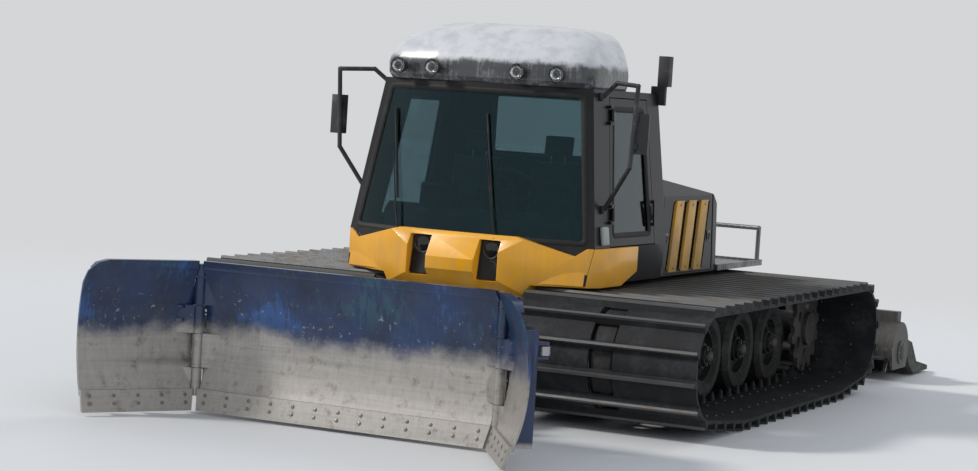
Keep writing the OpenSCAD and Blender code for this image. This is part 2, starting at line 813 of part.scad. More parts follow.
// Mirror brackets: tube loops ahead of the doors, on feet against the cab's side, with a mirror head
side_lean = atan((cab_belt_hw - cab_top_hw) / (cab_top_z - belt_z));
mirror_feet = [[350 - cab_front, belt_z + 280], [460 - cab_front, cab_top_z - 55]];
module mirror_foot(at) {
  translate([side_x(at[1]) + fit_gap, at[0], at[1]]) rotate([0, -side_lean, 0])
    translate([0, -30, -30]) cube([22, 60, 60]);
}
module mirrors() machine() color(black) both_sides() {
  low = [side_x(mirror_feet[0][1]) + 15, mirror_feet[0][0], mirror_feet[0][1]];
  high = [side_x(mirror_feet[1][1]) + 15, mirror_feet[1][0], mirror_feet[1][1]];
  for (foot = mirror_feet) mirror_foot(foot);
  tube([low, low + [215, -80, 330], low + [245, -90, 930], high + [130, -50, 110], high], 17);
  translate([side_x(1960) + 330, -1630, 1990]) rotate([0, 0, 12]) difference() {
    translate([-62, -24, 0]) cube([124, 48, 300]);
    translate([-52, 14, 10]) cube([104, 11, 280]);
  }
  for (bracket = [[1226, 2030], [1238, 2240]]) {
    block([bracket[0] - 12, -1690, bracket[1]], [bracket[0] + 12, -1645, bracket[1] + 30]);
  }
}

// Engine

module engine_block() machine() color(dark_grey) {
  block(engine_low, engine_high);
}

// The cover's outer form drawn in by a wall thickness
cover_front = -cab_rear + 50;
cover_t = 40;
cover_sill = deck_z + fit_gap;
cover_slope = (cover_rear_z - cover_front_z) / (cover_rear - cover_front);
function cover_z(y) = cover_front_z + cover_slope * (y - cover_front);
module cover_form(t) {
  low = t > 0 ? cover_sill - 5 : cover_sill;
  intersection() {
    along_x(-1100, 1100) polygon([
      [cover_front + t, low], [cover_rear - t, low],
      [cover_rear - t, cover_z(cover_rear) - 70 - t], [cover_rear - 90 - t, cover_z(cover_rear - 90) - t],
      [cover_front + t, cover_z(cover_front) - t]
    ]);
    along_y(-1000, 2000) polygon([
      [-cover_hw + t, low - 1], [cover_hw - t, low - 1], [cover_hw - 25 - t, 1640 - t],
      [cover_hw - 170 - t, 1810 - t], [-cover_hw + 170 + t, 1810 - t], [-cover_hw + 25 + t, 1640 - t]
    ]);
  }
}

flap_y0 = cover_front + 60;
flap_y1 = cover_rear - 120;
flap_low_z = cover_sill + 18;
flap_hinge_x = spine_hw + 16;
flap_hinge_r = 14;
// Room behind a flap, because its hinge line slopes
flap_swing = 26;
function flap_hinge(y) = [flap_hinge_x, y, cover_z(y) + 12];

// The space that a flap takes up
module flap_room() {
  block([spine_hw, flap_y0, flap_low_z], [1200, flap_y1, 2000]);
}

// Louvre opening in a flap, as seen from the side: its top leans to the rear
louvre_low = flap_low_z + 24;
louvre_high = 1590;
louvre_lean = 160;
louvre_y0 = flap_y0 + 50;
louvre_y1 = flap_y1 - 60 - louvre_lean;
module louvre_outline() {
  polygon([
    [louvre_y0, louvre_low], [louvre_y1, louvre_low],
    [louvre_y1 + louvre_lean, louvre_high], [louvre_y0 + louvre_lean, louvre_high]
  ]);
}

// Where the two hinge tubes of a flap begin, and how long they are
flap_tubes = [flap_y0 + 120, flap_y1 - 240];
tube_l = 120;
module engine_cover() machine() color(black) {
  difference() {
    cover_form(0);
    cover_form(cover_t);
    both_sides() block([spine_hw - 6, flap_y0 - 6, flap_low_z - 6], [1200, flap_y1 + flap_swing, 2000]);
  }
  // Flap hinges: a pin held by a lug at each end of the flap's tubes
  both_sides() for (y = flap_tubes) {
    aimed(flap_hinge(y - 15), flap_hinge(y)) cylinder(h = tube_l + 30, r = hinge_pin_r);
    for (end = [y - 20, y + tube_l + 4]) {
      at = flap_hinge(end + 8);
      along_y(end, end + 16) {
        link([at[0] - 50, at[2]], [at[0], at[2]], 20);
        translate([at[0] - 60, at[2] - 20]) square([34, 20]);
      }
    }
  }
}

module flap() color(black) {
  difference() {
    intersection() {
      difference() {
        cover_form(0);
        cover_form(cover_t);
      }
      flap_room();
    }
    along_x(800, 1200) louvre_outline();
  }
  for (y = flap_tubes) {
    difference() {
      aimed(flap_hinge(y), flap_hinge(y + 10)) cylinder(h = tube_l, r = flap_hinge_r);
      aimed(flap_hinge(y - 10), flap_hinge(y)) cylinder(h = tube_l + 20, r = hinge_pin_r + turn_gap);
    }
  }
}

// Slats that stand in the louvre opening, leaning with it
module slats() color(yellow) {
  step = (louvre_y1 - louvre_y0) / slat_count;
  intersection() {
    difference() {
      cover_form(-12);
      cover_form(14);
    }
    along_x(800, 1200) for (k = [0:slat_count - 1]) {
      y0 = louvre_y0 + (k + 0.5) * step - slat_w / 2;
      polygon([
        [y0, louvre_low - 12], [y0 + slat_w, louvre_low - 12],
        [y0 + slat_w + louvre_lean, louvre_high + 12], [y0 + louvre_lean, louvre_high + 12]
      ]);
    }
  }
}
module flap_left() machine() flap();
module flap_right() machine() mirror([1, 0, 0]) flap();
module slats_left() machine() slats_cut();
module slats_right() machine() mirror([1, 0, 0]) slats_cut();
// The slats without what lies in the flap's own wall
module slats_cut() color(yellow) difference() {
  slats();
  flap();
}

// Load platform behind the engine cover, with a rail along its rear
module platform() machine() color(dark_grey) {
  y0 = cover_rear + 20;
  y1 = chassis_rear + 110;
  hw = cover_hw + 15;
  difference() {
    block([-hw, y0, deck_z], [hw, y1, deck_z + 50]);
    block([-hw + 25, y0 + 25, deck_z + 30], [hw - 25, y1 - 25, deck_z + 51]);
  }
  both_sides() tube([
    [hw - 40, y1 - 30, deck_z + 40], [hw - 40, y1 - 30, deck_z + 330],
    [200, y1 - 30, deck_z + 330], [200, y1 - 30, deck_z + 40]
  ], 20);
}

// Cylinders

// A barrel along +Z from its base eye, bored for its rod
module barrel(length, r, rod_r) {
  eye_r = r + 2;
  difference() {
    union() {
      translate([0, 0, 10]) cylinder(h = 60, r = cyl_eye_w / 2 - 3);
      translate([0, 0, eye_r + 8]) cylinder(h = length - eye_r - 8, r = r);
      translate([-cyl_eye_w / 2, 0, 0]) rotate([0, 90, 0]) cylinder(h = cyl_eye_w, r = eye_r);
    }
    translate([0, 0, eye_r + 30]) cylinder(h = length, r = rod_r + turn_gap);
    translate([-cyl_eye_w, 0, 0]) rotate([0, 90, 0]) cylinder(h = 2 * cyl_eye_w, r = cyl_pin_r + turn_gap);
  }
}

// A rod along +Z that ends in its eye at a distance from the barrel's pin
module rod(start, reach, r, eye_bore) {
  eye_r = eye_bore + 13;
  difference() {
    union() {
      translate([0, 0, start]) cylinder(h = reach - start - eye_bore - 4, r = r);
      translate([-cyl_eye_w / 2, 0, reach]) rotate([0, 90, 0]) cylinder(h = cyl_eye_w, r = eye_r);
    }
    translate([-cyl_eye_w, 0, reach]) rotate([0, 90, 0]) cylinder(h = 2 * cyl_eye_w, r = eye_bore);
  }
}

// Places a cylinder in the side view, from pin to pin, at x
module side_cylinder(x, from, to) {
  d = to - from;
  translate([x, from[0], from[1]]) rotate([-atan2(d[0], d[1]), 0, 0]) children();
}

// Places a cylinder lying in a level plane, from pin to pin, with its eyes on upright pins
module level_cylinder(from, to, z) {
  d = to - from;
  translate([from[0], from[1], z]) rotate([0, 0, atan2(d[1], d[0])]) rotate([0, 90, 0]) children();
}

cyl_r = 42;
cyl_rod_r = 24;
open_eye = 34;
open_pin_r = 14;
wide_eye = 40;
wide_pin_r = 11;

lift_reach = norm(lift_eye - lift_base);
lift_barrel_l = 480;
module lift_barrels() machine() color(black) both_sides()
  side_cylinder(lift_x, lift_base, lift_eye) barrel(lift_barrel_l, cyl_r, cyl_rod_r);
module lift_rods() machine() color(steel) both_sides()
  side_cylinder(lift_x, lift_base, lift_eye) rod(240, lift_reach, cyl_rod_r, open_eye);

rear_reach = norm(rear_eye - rear_base);
rear_barrel_l = 345;
module rear_barrels() machine() color(black) both_sides()
  side_cylinder(rear_cyl_x, rear_base, rear_eye) barrel(rear_barrel_l, cyl_r, cyl_rod_r);
module rear_rods() machine() color(steel) both_sides()
  side_cylinder(rear_cyl_x, rear_base, rear_eye) rod(288, rear_reach, cyl_rod_r, open_eye);

// Push frame

// Angle cylinders lie outside the arms, from the frame to the swing head
angle_z = 480;
angle_x = push_x + 130;
angle_base = [angle_x, -2330];
angle_eye = [angle_x, -turn_y - 60];
turn_pin_r = 45;
head_low = 360;
head_high = 640;

module push_frame() machine() color(black) {
  knee = [-2450, 470];
  tip = [-turn_y + 120, 500];
  both_sides() {
    difference() {
      union() {
        along_x(push_x - push_arm_w / 2, push_x + push_arm_w / 2) {
          link(push_pin, knee, 110);
          link(knee, tip, 120);
        }
      }
      bar_x(push_x - push_arm_w, push_x + push_arm_w, push_pin[0], push_pin[1], push_pin_r + turn_gap);
    }
    // Brackets for the angle cylinders
    for (z = [angle_z - 60, angle_z + 40]) {
      block([push_x + push_arm_w / 2 - 5, angle_base[1] - 40, z], [angle_base[0] + 35, angle_base[1] + 40, z + 20]);
    }
    translate([angle_base[0], angle_base[1], angle_z - 60]) cylinder(h = 120, r = cyl_pin_r);
    clevis(lift_x, cyl_eye_w, [lift_eye[0], 540], lift_eye, open_pin_r, 34);
  }
  // Cross beam under the lift brackets and the yoke of the turning pin
  block([-push_x, lift_eye[0] - 70, 440], [push_x, lift_eye[0] + 70, 560]);
  block([-push_x - 40, -turn_y + 90, 430], [push_x + 40, -turn_y + 200, 570]);
  for (z = [head_low, head_high - 60]) {
    difference() {
      union() {
        translate([0, -turn_y, z]) cylinder(h = 60, r = 95);
        block([-88, -turn_y, z], [88, -turn_y + 110, z + 60]);
      }
      translate([0, -turn_y, z - 1]) cylinder(h = 62, r = turn_pin_r + turn_gap);
    }
  }
  block([-95, -turn_y + 100, head_low], [95, -turn_y + 130, head_high]);
}

// Swing head: turns on the upright pin and carries the tilting pin
tilt_base = [-400, 690];
tilt_eye = [150, 840];
tilt_y = -3262;
module swing_head() machine() color(black) {
  hub_low = head_low + 60 + side_gap;
  hub_high = head_high - 60 - side_gap;
  translate([0, -turn_y, head_low - 25]) cylinder(h = head_high - head_low + 50, r = turn_pin_r);
  difference() {
    union() {
      translate([0, -turn_y, hub_low]) cylinder(h = hub_high - hub_low, r = 80);
      block([-74, -turn_y - 200, hub_low], [74, -turn_y, hub_high]);
      block([-angle_x - 40, -turn_y - 190, angle_z + 55], [angle_x + 40, -turn_y - 110, angle_z + 130]);
      block([-90, -turn_y - 210, 400], [90, -turn_y - 110, angle_z + 130]);
    }
  }
  both_sides() {
    for (z = [angle_z - 60, angle_z + 40]) {
      block([angle_eye[0] - 50, -turn_y - 160, z], [angle_eye[0] + 40, angle_eye[1] + 42, z + 20]);
    }
    block([angle_eye[0] - 50, -turn_y - 190, angle_z - 60], [angle_eye[0] + 40, -turn_y - 150, angle_z + 130]);
    translate([angle_eye[0], angle_eye[1], angle_z - 60]) cylinder(h = 120, r = wide_pin_r);
  }
  bar_y(-turn_y - 424, -turn_y - 200, 0, tilt_z, 50);
  // Bracket and pin of the tilt cylinder
  block([tilt_base[0] - 40, -turn_y - 190, angle_z + 100], [tilt_base[0] + 40, -turn_y - 160, tilt_base[1] + 40]);
  bar_y(-turn_y - 300, -turn_y - 160, tilt_base[0], tilt_base[1], cyl_pin_r);
}

angle_reach = norm(angle_eye - angle_base);
module angle_barrel() color(black)
  level_cylinder(angle_base, angle_eye, angle_z) barrel(440, 40, cyl_rod_r);
module angle_rod() color(steel)
  level_cylinder(angle_base, angle_eye, angle_z) rod(240, angle_reach, cyl_rod_r, wide_eye);
module angle_barrel_left() machine() angle_barrel();
module angle_rod_left() machine() angle_rod();
module angle_barrel_right() machine() mirror([1, 0, 0]) angle_barrel();
module angle_rod_right() machine() mirror([1, 0, 0]) angle_rod();

// Places the tilt cylinder, whose eyes turn on pins along Y
module tilt_place() {
  d = tilt_eye - tilt_base;
  translate([tilt_base[0], tilt_y, tilt_base[1]]) rotate([0, 90 - atan2(d[1], d[0]), 0])
    rotate([0, 0, 90]) children();
}
tilt_reach = norm(tilt_eye - tilt_base);
module tilt_barrel() machine() color(black) tilt_place() barrel(360, 36, cyl_rod_r);
module tilt_rod() machine() color(steel) tilt_place() rod(250, tilt_reach, cyl_rod_r, open_eye);

// Blade

// Section of the mouldboard and its cutting edge, in the side view
module board_section(t) {
  intersection() {
    difference() {
      translate([-blade_y - blade_r, board_mid_z]) circle(r = blade_r + t, $fn = 160);
      translate([-blade_y - blade_r, board_mid_z]) circle(r = blade_r, $fn = 160);
    }
    translate([-blade_y - 400, edge_z + 110]) square([500, blade_top - edge_z - 110]);
  }
}
// The same section in flat strips, for the boards with a cut corner
board_strips = 16;
module strip_section(t) {
  centre = -blade_y - blade_r;
  low = asin((edge_z + 110 - board_mid_z) / blade_r);
  step = (asin((blade_top - board_mid_z) / blade_r) - low) / board_strips;
  function spot(r, k) = [centre + r * cos(low + k * step), board_mid_z + r * sin(low + k * step)];
  intersection() {
    polygon([
      for (k = [-1:board_strips + 1]) spot(blade_r, k),
      for (k = [board_strips + 1:-1:-1]) spot(blade_r + t, k)
    ]);
    translate([centre, edge_z + 110]) square([blade_r + 100, blade_top - edge_z - 110]);
  }
}
module edge_section() {
  foot = -blade_y - board_sag - edge_out;
  polygon([
    [foot, edge_z], [foot + 26, edge_z], [foot + 70, edge_z + 150], [foot + 44, edge_z + 150]
  ]);
}
module top_section() {
  top = -blade_y - board_sag + 24;
  translate([top, blade_top - 60]) square([46, 60]);
}
// What is cut away beside the wing hinge so that the board folds: half of the angle on each side
fold_half = 31;
back_half = 11;
module fold_room(gap) {
  reach = 600;
  polygon([
    [gap, 0], [gap + reach * tan(fold_half), -reach], [-2000, -reach], [-2000, reach],
    [gap + reach * tan(back_half), reach]
  ]);
}

// What a board leaves free round the wing hinge, seen along its own +X
module hinge_room() {
  linear_extrude(1300) fold_room(14);
  cylinder(h = 1300, r = wing_knuckle_r + 6);
}
// A hinge tube with the web that joins it to its board, seen along the board's own +X
module knuckle(low, high) {
  translate([0, 0, low]) linear_extrude(high - low) {
    circle(r = wing_knuckle_r);
    link([0, 0], [130, board_sag / 2 + 20], 50);
  }
}

wing_cyl_z = 700;
wing_base = [blade_hw - 520, wing_pin_y + 190];
wing_lever = [60, 260];
wing_reach = norm(wing_folded(wing_lever) - wing_base);
// A wing's own point, along it and behind it, as a place on the machine with the wing folded
function wing_folded(p) = [
  blade_hw + p[0] * cos(wing_fold) + p[1] * sin(wing_fold),
  wing_pin_y - p[0] * sin(wing_fold) + p[1] * cos(wing_fold)
];

module blade() machine() color(blue) {
  inner = blade_hw - 30;
  difference() {
    along_x(-inner, inner) {
      board_section(board_t);
      edge_section();
      top_section();
    }
    both_sides() translate([blade_hw, wing_pin_y, 0]) mirror([1, 0, 0]) hinge_room();
  }
  // Ribs, box beam and tilting hub
  for (x = [-1020, -620, -210, 210, 620, 1020]) {
    along_x(x - 8, x + 8) difference() {
      translate([-blade_y - board_sag + 20, edge_z + 130]) square([board_sag + 5, blade_top - edge_z - 190]);
      translate([-blade_y - blade_r, board_mid_z]) circle(r = blade_r + board_t - 2, $fn = 160);
    }
  }
  block([-1030, -blade_y + board_t - 1, tilt_z - 90], [1030, -blade_y + beam_d, tilt_z + 90]);
  difference() {
    union() {
      bar_y(-blade_y + beam_d - 5, -turn_y - 220, 0, tilt_z, 95);
      block([-160, -blade_y + beam_d - 5, tilt_z - 95], [160, -blade_y + beam_d + 30, tilt_z + 120]);
    }
    bar_y(-turn_y - 450, -turn_y - 100, 0, tilt_z, 50 + turn_gap);
  }
  // Mast that takes the tilt cylinder's rod
  block([tilt_eye[0] - 40, -blade_y + board_t, tilt_z + 80], [tilt_eye[0] + 40, -blade_y + 80, tilt_eye[1] + 40]);
  bar_y(-blade_y + 60, tilt_y + 38, tilt_eye[0], tilt_eye[1], open_pin_r);
  both_sides() {
    // Wing hinge tubes
    for (band = [[322, 558], [762, 958]]) {
      difference() {
        translate([blade_hw, wing_pin_y, 0]) mirror([1, 0, 0]) knuckle(band[0], band[1]);
        translate([blade_hw, wing_pin_y, band[0] - 1]) cylinder(h = 240, r = wing_pin_r + turn_gap);
      }
    }
    // Bracket of the wing cylinder
    for (z = [wing_cyl_z - 56, wing_cyl_z + 36]) {
      block([wing_base[0] - 40, -blade_y + 6, z], [wing_base[0] + 40, wing_base[1] + 40, z + 20]);
    }
    block([wing_base[0] - 40, -blade_y + 6, wing_cyl_z - 56],
      [wing_base[0] + 40, wing_base[1] - 52, wing_cyl_z + 56]);
    translate([wing_base[0], wing_base[1], wing_cyl_z - 56]) cylinder(h = 112, r = cyl_pin_r);
  }
}

// The left wing, drawn straight out along +X from its hinge and then folded
module wing() color(blue) {
  translate([blade_hw, wing_pin_y, 0]) rotate([0, 0, -wing_fold]) {
    difference() {
      translate([0, -wing_pin_y, 0]) along_x(0, wing_l) {
        strip_section(board_t);
        edge_section();
        top_section();
      }
      hinge_room();
      // Rounded top corner at the tip
      along_y(-300, 300) polygon([
        [wing_l + 50, blade_top - corner_r], for (a = [0:30:90])
          [wing_l + corner_r * (cos(a) - 1), blade_top + corner_r * (sin(a) - 1)],
        [wing_l - corner_r, blade_top + 50], [wing_l + 50, blade_top + 50]
      ]);
    }
    translate([0, -wing_pin_y, 0]) for (x = [220, 560, wing_l - 60]) {
      along_x(x - 7, x + 7) difference() {
        translate([-blade_y - board_sag + 30, edge_z + 130]) square([board_sag + 30, blade_top - edge_z - 300]);
        translate([-blade_y - blade_r, board_mid_z]) circle(r = blade_r + board_t - 2, $fn = 160);
      }
    }
    // Hinge tubes with the pin, and the lever that the cylinder works on
    for (band = [[122, 318], [562, 758], [962, 1050]]) {
      knuckle(band[0], band[1]);
    }
    translate([0, 0, 130]) cylinder(h = 910, r = wing_pin_r);
    for (z = [wing_cyl_z - 56, wing_cyl_z + 36]) {
      translate([0, 0, z]) linear_extrude(20) difference() {
        link([120, 70], wing_lever, 90);
        translate([-100, -200]) square([400, 190]);
      }
    }
    translate([wing_lever[0], wing_lever[1], wing_cyl_z - 56]) cylinder(h = 112, r = wide_pin_r);
    block([100, board_sag / 2 + 10, wing_cyl_z - 56], [200, board_sag / 2 + 45, wing_cyl_z + 56]);
  }
}
module wing_left() machine() wing();
module wing_right() machine() mirror([1, 0, 0]) wing();

module wing_barrel() color(black)
  level_cylinder(wing_base, wing_folded(wing_lever), wing_cyl_z) barrel(390, 36, 20);
module wing_rod() color(steel)
  level_cylinder(wing_base, wing_folded(wing_lever), wing_cyl_z) rod(350, wing_reach, 20, wide_eye);
module wing_barrel_left() machine() wing_barrel();
module wing_rod_left() machine() wing_rod();
module wing_barrel_right() machine() mirror([1, 0, 0]) wing_barrel();
module wing_rod_right() machine() mirror([1, 0, 0]) wing_rod();

// Rear lift frame
swing_y = 2860;
swing_low = 520;
swing_high = 700;
module rear_frame() machine() color(black) {
  both_sides() {
    difference() {
      along_x(rear_x - push_arm_w / 2, rear_x + push_arm_w / 2) {
        link(rear_pin, [2620, 560], 110);
        link([2620, 560], [2740, 610], 110);
      }
      bar_x(rear_x - push_arm_w, rear_x + push_arm_w, rear_pin[0], rear_pin[1], push_pin_r + turn_gap);
    }
    clevis(rear_cyl_x, cyl_eye_w, [rear_eye[0] - 40, rear_eye[1] - 90], rear_eye, open_pin_r, 34);
  }
  block([-rear_x, rear_eye[0] - 90, 555], [rear_x, rear_eye[0] + 5, 638]);
  for (z = [swing_low, swing_high - 45]) {
    difference() {
      union() {
        translate([0, swing_y, z]) cylinder(h = 45, r = 75);
        block([-68, 2780, z], [68, swing_y, z + 45]);
      }
      translate([0, swing_y, z - 1]) cylinder(h = 47, r = 35 + turn_gap);
    }
  }
  block([-75, 2775, swing_low], [75, 2795, swing_high]);
}

// Tiller: hood over the rotor, end plates and the hub on the swing pin
hood_r = 262;
hood_t = 12;
tiller_hw = tiller_w / 2;
module tiller() machine() color(dark_grey) {
  hub_low = swing_low + 45 + side_gap;
  hub_high = swing_high - 45 - side_gap;
  translate([0, swing_y, swing_low - 15]) cylinder(h = swing_high - swing_low + 30, r = 35);
  translate([0, swing_y, hub_low]) cylinder(h = hub_high - hub_low, r = 56);
  block([-60, swing_y, hub_low], [60, rotor_y + 40, hub_high]);
  // Curved hood
  along_x(-tiller_hw, tiller_hw) {
    intersection() {
      difference() {
        translate([rotor_y, rotor_z]) circle(r = hood_r + hood_t, $fn = 96);
        translate([rotor_y, rotor_z]) circle(r = hood_r, $fn = 96);
      }
      polygon([
        [rotor_y, rotor_z], [rotor_y - 500, rotor_z - 60], [rotor_y - 500, rotor_z + 600],
        [rotor_y + 500, rotor_z + 600], [rotor_y + 500, rotor_z - 20]
      ]);
    }
  }
  // Beam on top of the hood
  block([-tiller_hw + 30, rotor_y - 60, rotor_z + hood_r + 5], [tiller_hw - 30, rotor_y + 60, rotor_z + hood_r + 105]);
  block([-150, rotor_y - 60, rotor_z + hood_r + 100], [150, rotor_y + 60, hub_high]);
  // End plates and the middle bearing
  for (x = [-tiller_hw, -12, tiller_hw - 24]) {
    along_x(x, x + 24) difference() {
      union() {
        intersection() {
          translate([rotor_y, rotor_z]) circle(r = hood_r + 2, $fn = 96);
          translate([rotor_y - 300, rotor_z - 150]) square([600, 500]);
        }
      }
      translate([rotor_y, rotor_z]) circle(r = 40 + turn_gap);
    }
  }
}

// One half of the rotor: a tube with rings of teeth set round it in a spiral
rotor_end = 30;
module rotor() color(steel) {
  x0 = 12 + side_gap;
  x1 = tiller_hw - 24 - side_gap;
  step = (x1 - x0 - 160) / (tooth_rings - 1);
  bar_x(x0, x1, rotor_y, rotor_z, rotor_r);
  bar_x(x0 - side_gap - 5, x1 + side_gap + 12, rotor_y, rotor_z, 40);
  for (k = [0:tooth_rings - 1]) {
    for (a = [0:90:270]) {
      translate([x0 + 80 + k * step, rotor_y, rotor_z]) rotate([a + k * 30, 0, 0])
        along_x(-12, 12) polygon([
          [-34, rotor_r - 8], [30, rotor_r - 8], [6, tooth_r - 1], [-14, tooth_r - 1]
        ]);
    }
  }
}
module rotor_left() machine() rotor();
module rotor_right() machine() mirror([1, 0, 0]) rotor();

// Finisher: a rubber mat behind the hood whose underside presses the ridges
module finisher() machine() color(rubber) {
  mat_y0 = rotor_y + hood_r + hood_t;
  pitch = tiller_w / ridge_count;
  difference() {
    along_x(-tiller_hw + 10, tiller_hw - 10) polygon([
      [mat_y0 - 60, rotor_z + 110], [mat_y0 + 170, rotor_z + 60], [finisher_end - 420, 130],
      [finisher_end, 62], [finisher_end, 22], [finisher_end - 500, 22], [mat_y0 + 120, 110],
      [mat_y0 - 60, rotor_z + 20]
    ]);
    bar_x(-tiller_hw, tiller_hw, rotor_y, rotor_z, hood_r + hood_t + 1.5);
    for (k = [0:ridge_count - 1]) {
      translate([-tiller_hw + (k + 0.5) * pitch, 0, 22]) rotate([0, 45, 0])
        translate([-25, mat_y0 + 150, -25]) cube([50, 1500, 50]);
    }
  }
}

chassis();
axles();
wheels_left();
wheels_right();
sprockets_left();
sprockets_right();
track_left();
track_right();
cab_shell();
cab_roof();
nose();
cab_glass();
dashboard();
seats();
steering_wheel();
door_left();
door_right();
door_glass_left();
door_glass_right();
roof_lamps();
mirrors();
engine_block();
engine_cover();
flap_left();
flap_right();
slats_left();
slats_right();
platform();
push_frame();
swing_head();
blade();
wing_left();
wing_right();
lift_barrels();
lift_rods();
angle_barrel_left();
angle_rod_left();
angle_barrel_right();
angle_rod_right();
tilt_barrel();
tilt_rod();
wing_barrel_left();
wing_rod_left();
wing_barrel_right();
wing_rod_right();
rear_frame();
tiller();
rotor_left();
rotor_right();
finisher();
rear_barrels();
rear_rods();
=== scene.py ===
import json
import math

import bmesh
import bpy
import numpy as np
from mathutils import Matrix, Vector

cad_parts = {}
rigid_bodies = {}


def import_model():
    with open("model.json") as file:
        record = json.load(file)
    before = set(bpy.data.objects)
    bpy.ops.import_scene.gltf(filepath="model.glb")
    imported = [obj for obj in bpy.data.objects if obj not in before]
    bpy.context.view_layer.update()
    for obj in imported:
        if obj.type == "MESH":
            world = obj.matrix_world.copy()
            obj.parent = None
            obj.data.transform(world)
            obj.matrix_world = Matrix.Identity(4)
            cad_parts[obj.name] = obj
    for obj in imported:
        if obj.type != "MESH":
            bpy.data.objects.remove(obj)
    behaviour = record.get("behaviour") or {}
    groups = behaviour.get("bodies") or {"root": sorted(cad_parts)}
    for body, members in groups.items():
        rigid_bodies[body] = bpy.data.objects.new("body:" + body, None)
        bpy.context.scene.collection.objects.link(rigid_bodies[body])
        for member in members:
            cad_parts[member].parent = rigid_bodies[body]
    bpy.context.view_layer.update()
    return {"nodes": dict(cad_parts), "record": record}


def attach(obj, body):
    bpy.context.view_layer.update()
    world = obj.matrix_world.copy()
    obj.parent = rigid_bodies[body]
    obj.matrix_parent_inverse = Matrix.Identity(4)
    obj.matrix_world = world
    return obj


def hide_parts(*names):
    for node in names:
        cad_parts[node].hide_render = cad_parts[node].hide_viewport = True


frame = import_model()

nodes = frame["nodes"]

# Sizes repeated from the part's source, in metres. Lengthwise places count from the middle of the track.
SHIFT = 0.098649
BELT_Z, CAB_TOP_Z, CAB_FRONT, CAB_REAR = 1.280, 2.450, 1.950, 0.300
BELT_HW, TOP_HW, DECK_Z = 1.020, 0.865, 1.000
SHIELD_R, SHIELD_LEAN, PILLAR_W = 2.600, math.radians(10.5), 0.062
BLADE_Y, BLADE_TOP, BLADE_R, EDGE_Z, EDGE_OUT = 3.600, 1.075, 1.150, 0.025, 0.022
BLADE_HW, WING_L, WING_FOLD = 1.175, 0.880, math.radians(58)
BOARD_MID_Z = (BLADE_TOP + EDGE_Z) / 2 + 0.020
BOARD_SAG = BLADE_R - math.sqrt(BLADE_R**2 - (BLADE_TOP - BOARD_MID_Z) ** 2)
WING_PIN_Y = -BLADE_Y - BOARD_SAG / 2
TRACK_BETWEEN, TRACK_W, BELT_T = 1.240, 1.480, 0.025
LUG_H, LUG_COUNT, BAR_SINK = 0.055, 50, 0.006
ROAD_R, END_R, ROAD_SPAN, ROAD_STEP, ROAD_FIRST = 0.350, 0.370, 2.400, 0.800, -1.220
IDLER_Y, SPROCKET_Y, TRACK_H = 1.990, 1.800, 0.970
ROAD_Z, END_Z = LUG_H + BELT_T + ROAD_R, TRACK_H - LUG_H - BELT_T - END_R
DOOR_FRONT, DOOR_REAR, DOOR_LEAN, DOOR_FRAME = 1.480, 0.560, 0.160, 0.075
DOOR_SILL, DOOR_HEAD = BELT_Z + 0.005, CAB_TOP_Z - 0.060
NOSE_FRONT, BEAK_HW, RECESS_W, RECESS_D = 2.120, 0.185, 0.200, 0.150
ROOF_FRONT, WORK_LAMPS = -1.810, ((0.350, 0.012), (0.655, 0.053))
COVER_HW, COVER_LOW, COVER_HIGH, COVER_IN = 0.965, 0.9993, 1.640, 0.025
LOUVRE_LOW, LOUVRE_HIGH, LOUVRE_LEAN = 1.0423, 1.590, 0.160
LOUVRE_Y0, LOUVRE_Y1, SLAT_COUNT = -0.140, 0.720, 3
PUSH_X, PUSH_Y, PUSH_Z, LIFT_X, PIN_END = 0.300, 1.980, 0.400, 0.140, 0.070
CHASSIS_REAR, REAR_X, REAR_PIVOT_Y, REAR_PIVOT_Z = 2.150, 0.300, 2.230, 0.480
MAT_Y, TILLER_HW, ROTOR_Y, ROTOR_Z = 3.454, 2.050, 3.180, 0.262
DASH_Y, FLOOR_Z = 0.310 - CAB_FRONT, DECK_Z + 0.050
DRIVER_X, PASSENGER_X, SEAT_LEAN = 0.150, -0.540, math.atan2(0.100, 0.650)
WHEEL_LOW, WHEEL_HIGH = np.array([0.150, -1.560, 1.480]), np.array([0.150, -1.400, 1.660])

SIDES = ((1, "left"), (-1, "right"))
LEFTWARD, UPWARD = (1, 0, 0), (0, 0, 1)


def at(x, y, z):
    """A place measured from the middle of the track, as a point in the frame."""
    return np.array([x, y + SHIFT, z], float)


def sided(points, side):
    """Points or directions as they are for the left side (1), mirrored for the right (-1)."""
    return np.asarray(points, float) * (side, 1, 1)


def mm(*pairs):
    """Pairs of sizes, such as heights and radii, given in millimetres."""
    return [(a / 1000, b / 1000) for a, b in pairs]


def door_edge_y(z):
    """Lengthwise place of the door's leaning front edge."""
    return -DOOR_FRONT + DOOR_LEAN * (z - DOOR_SILL) / (DOOR_HEAD - DOOR_SILL)


def cover_side_x(z):
    """Half width of the engine cover's leaning side."""
    return COVER_HW - COVER_IN * (z - COVER_LOW) / (COVER_HIGH - COVER_LOW)


def louvre_lean(z):
    """How far the louvre has leant to the rear at a height."""
    return (z - LOUVRE_LOW) / (LOUVRE_HIGH - LOUVRE_LOW) * LOUVRE_LEAN


# Materials


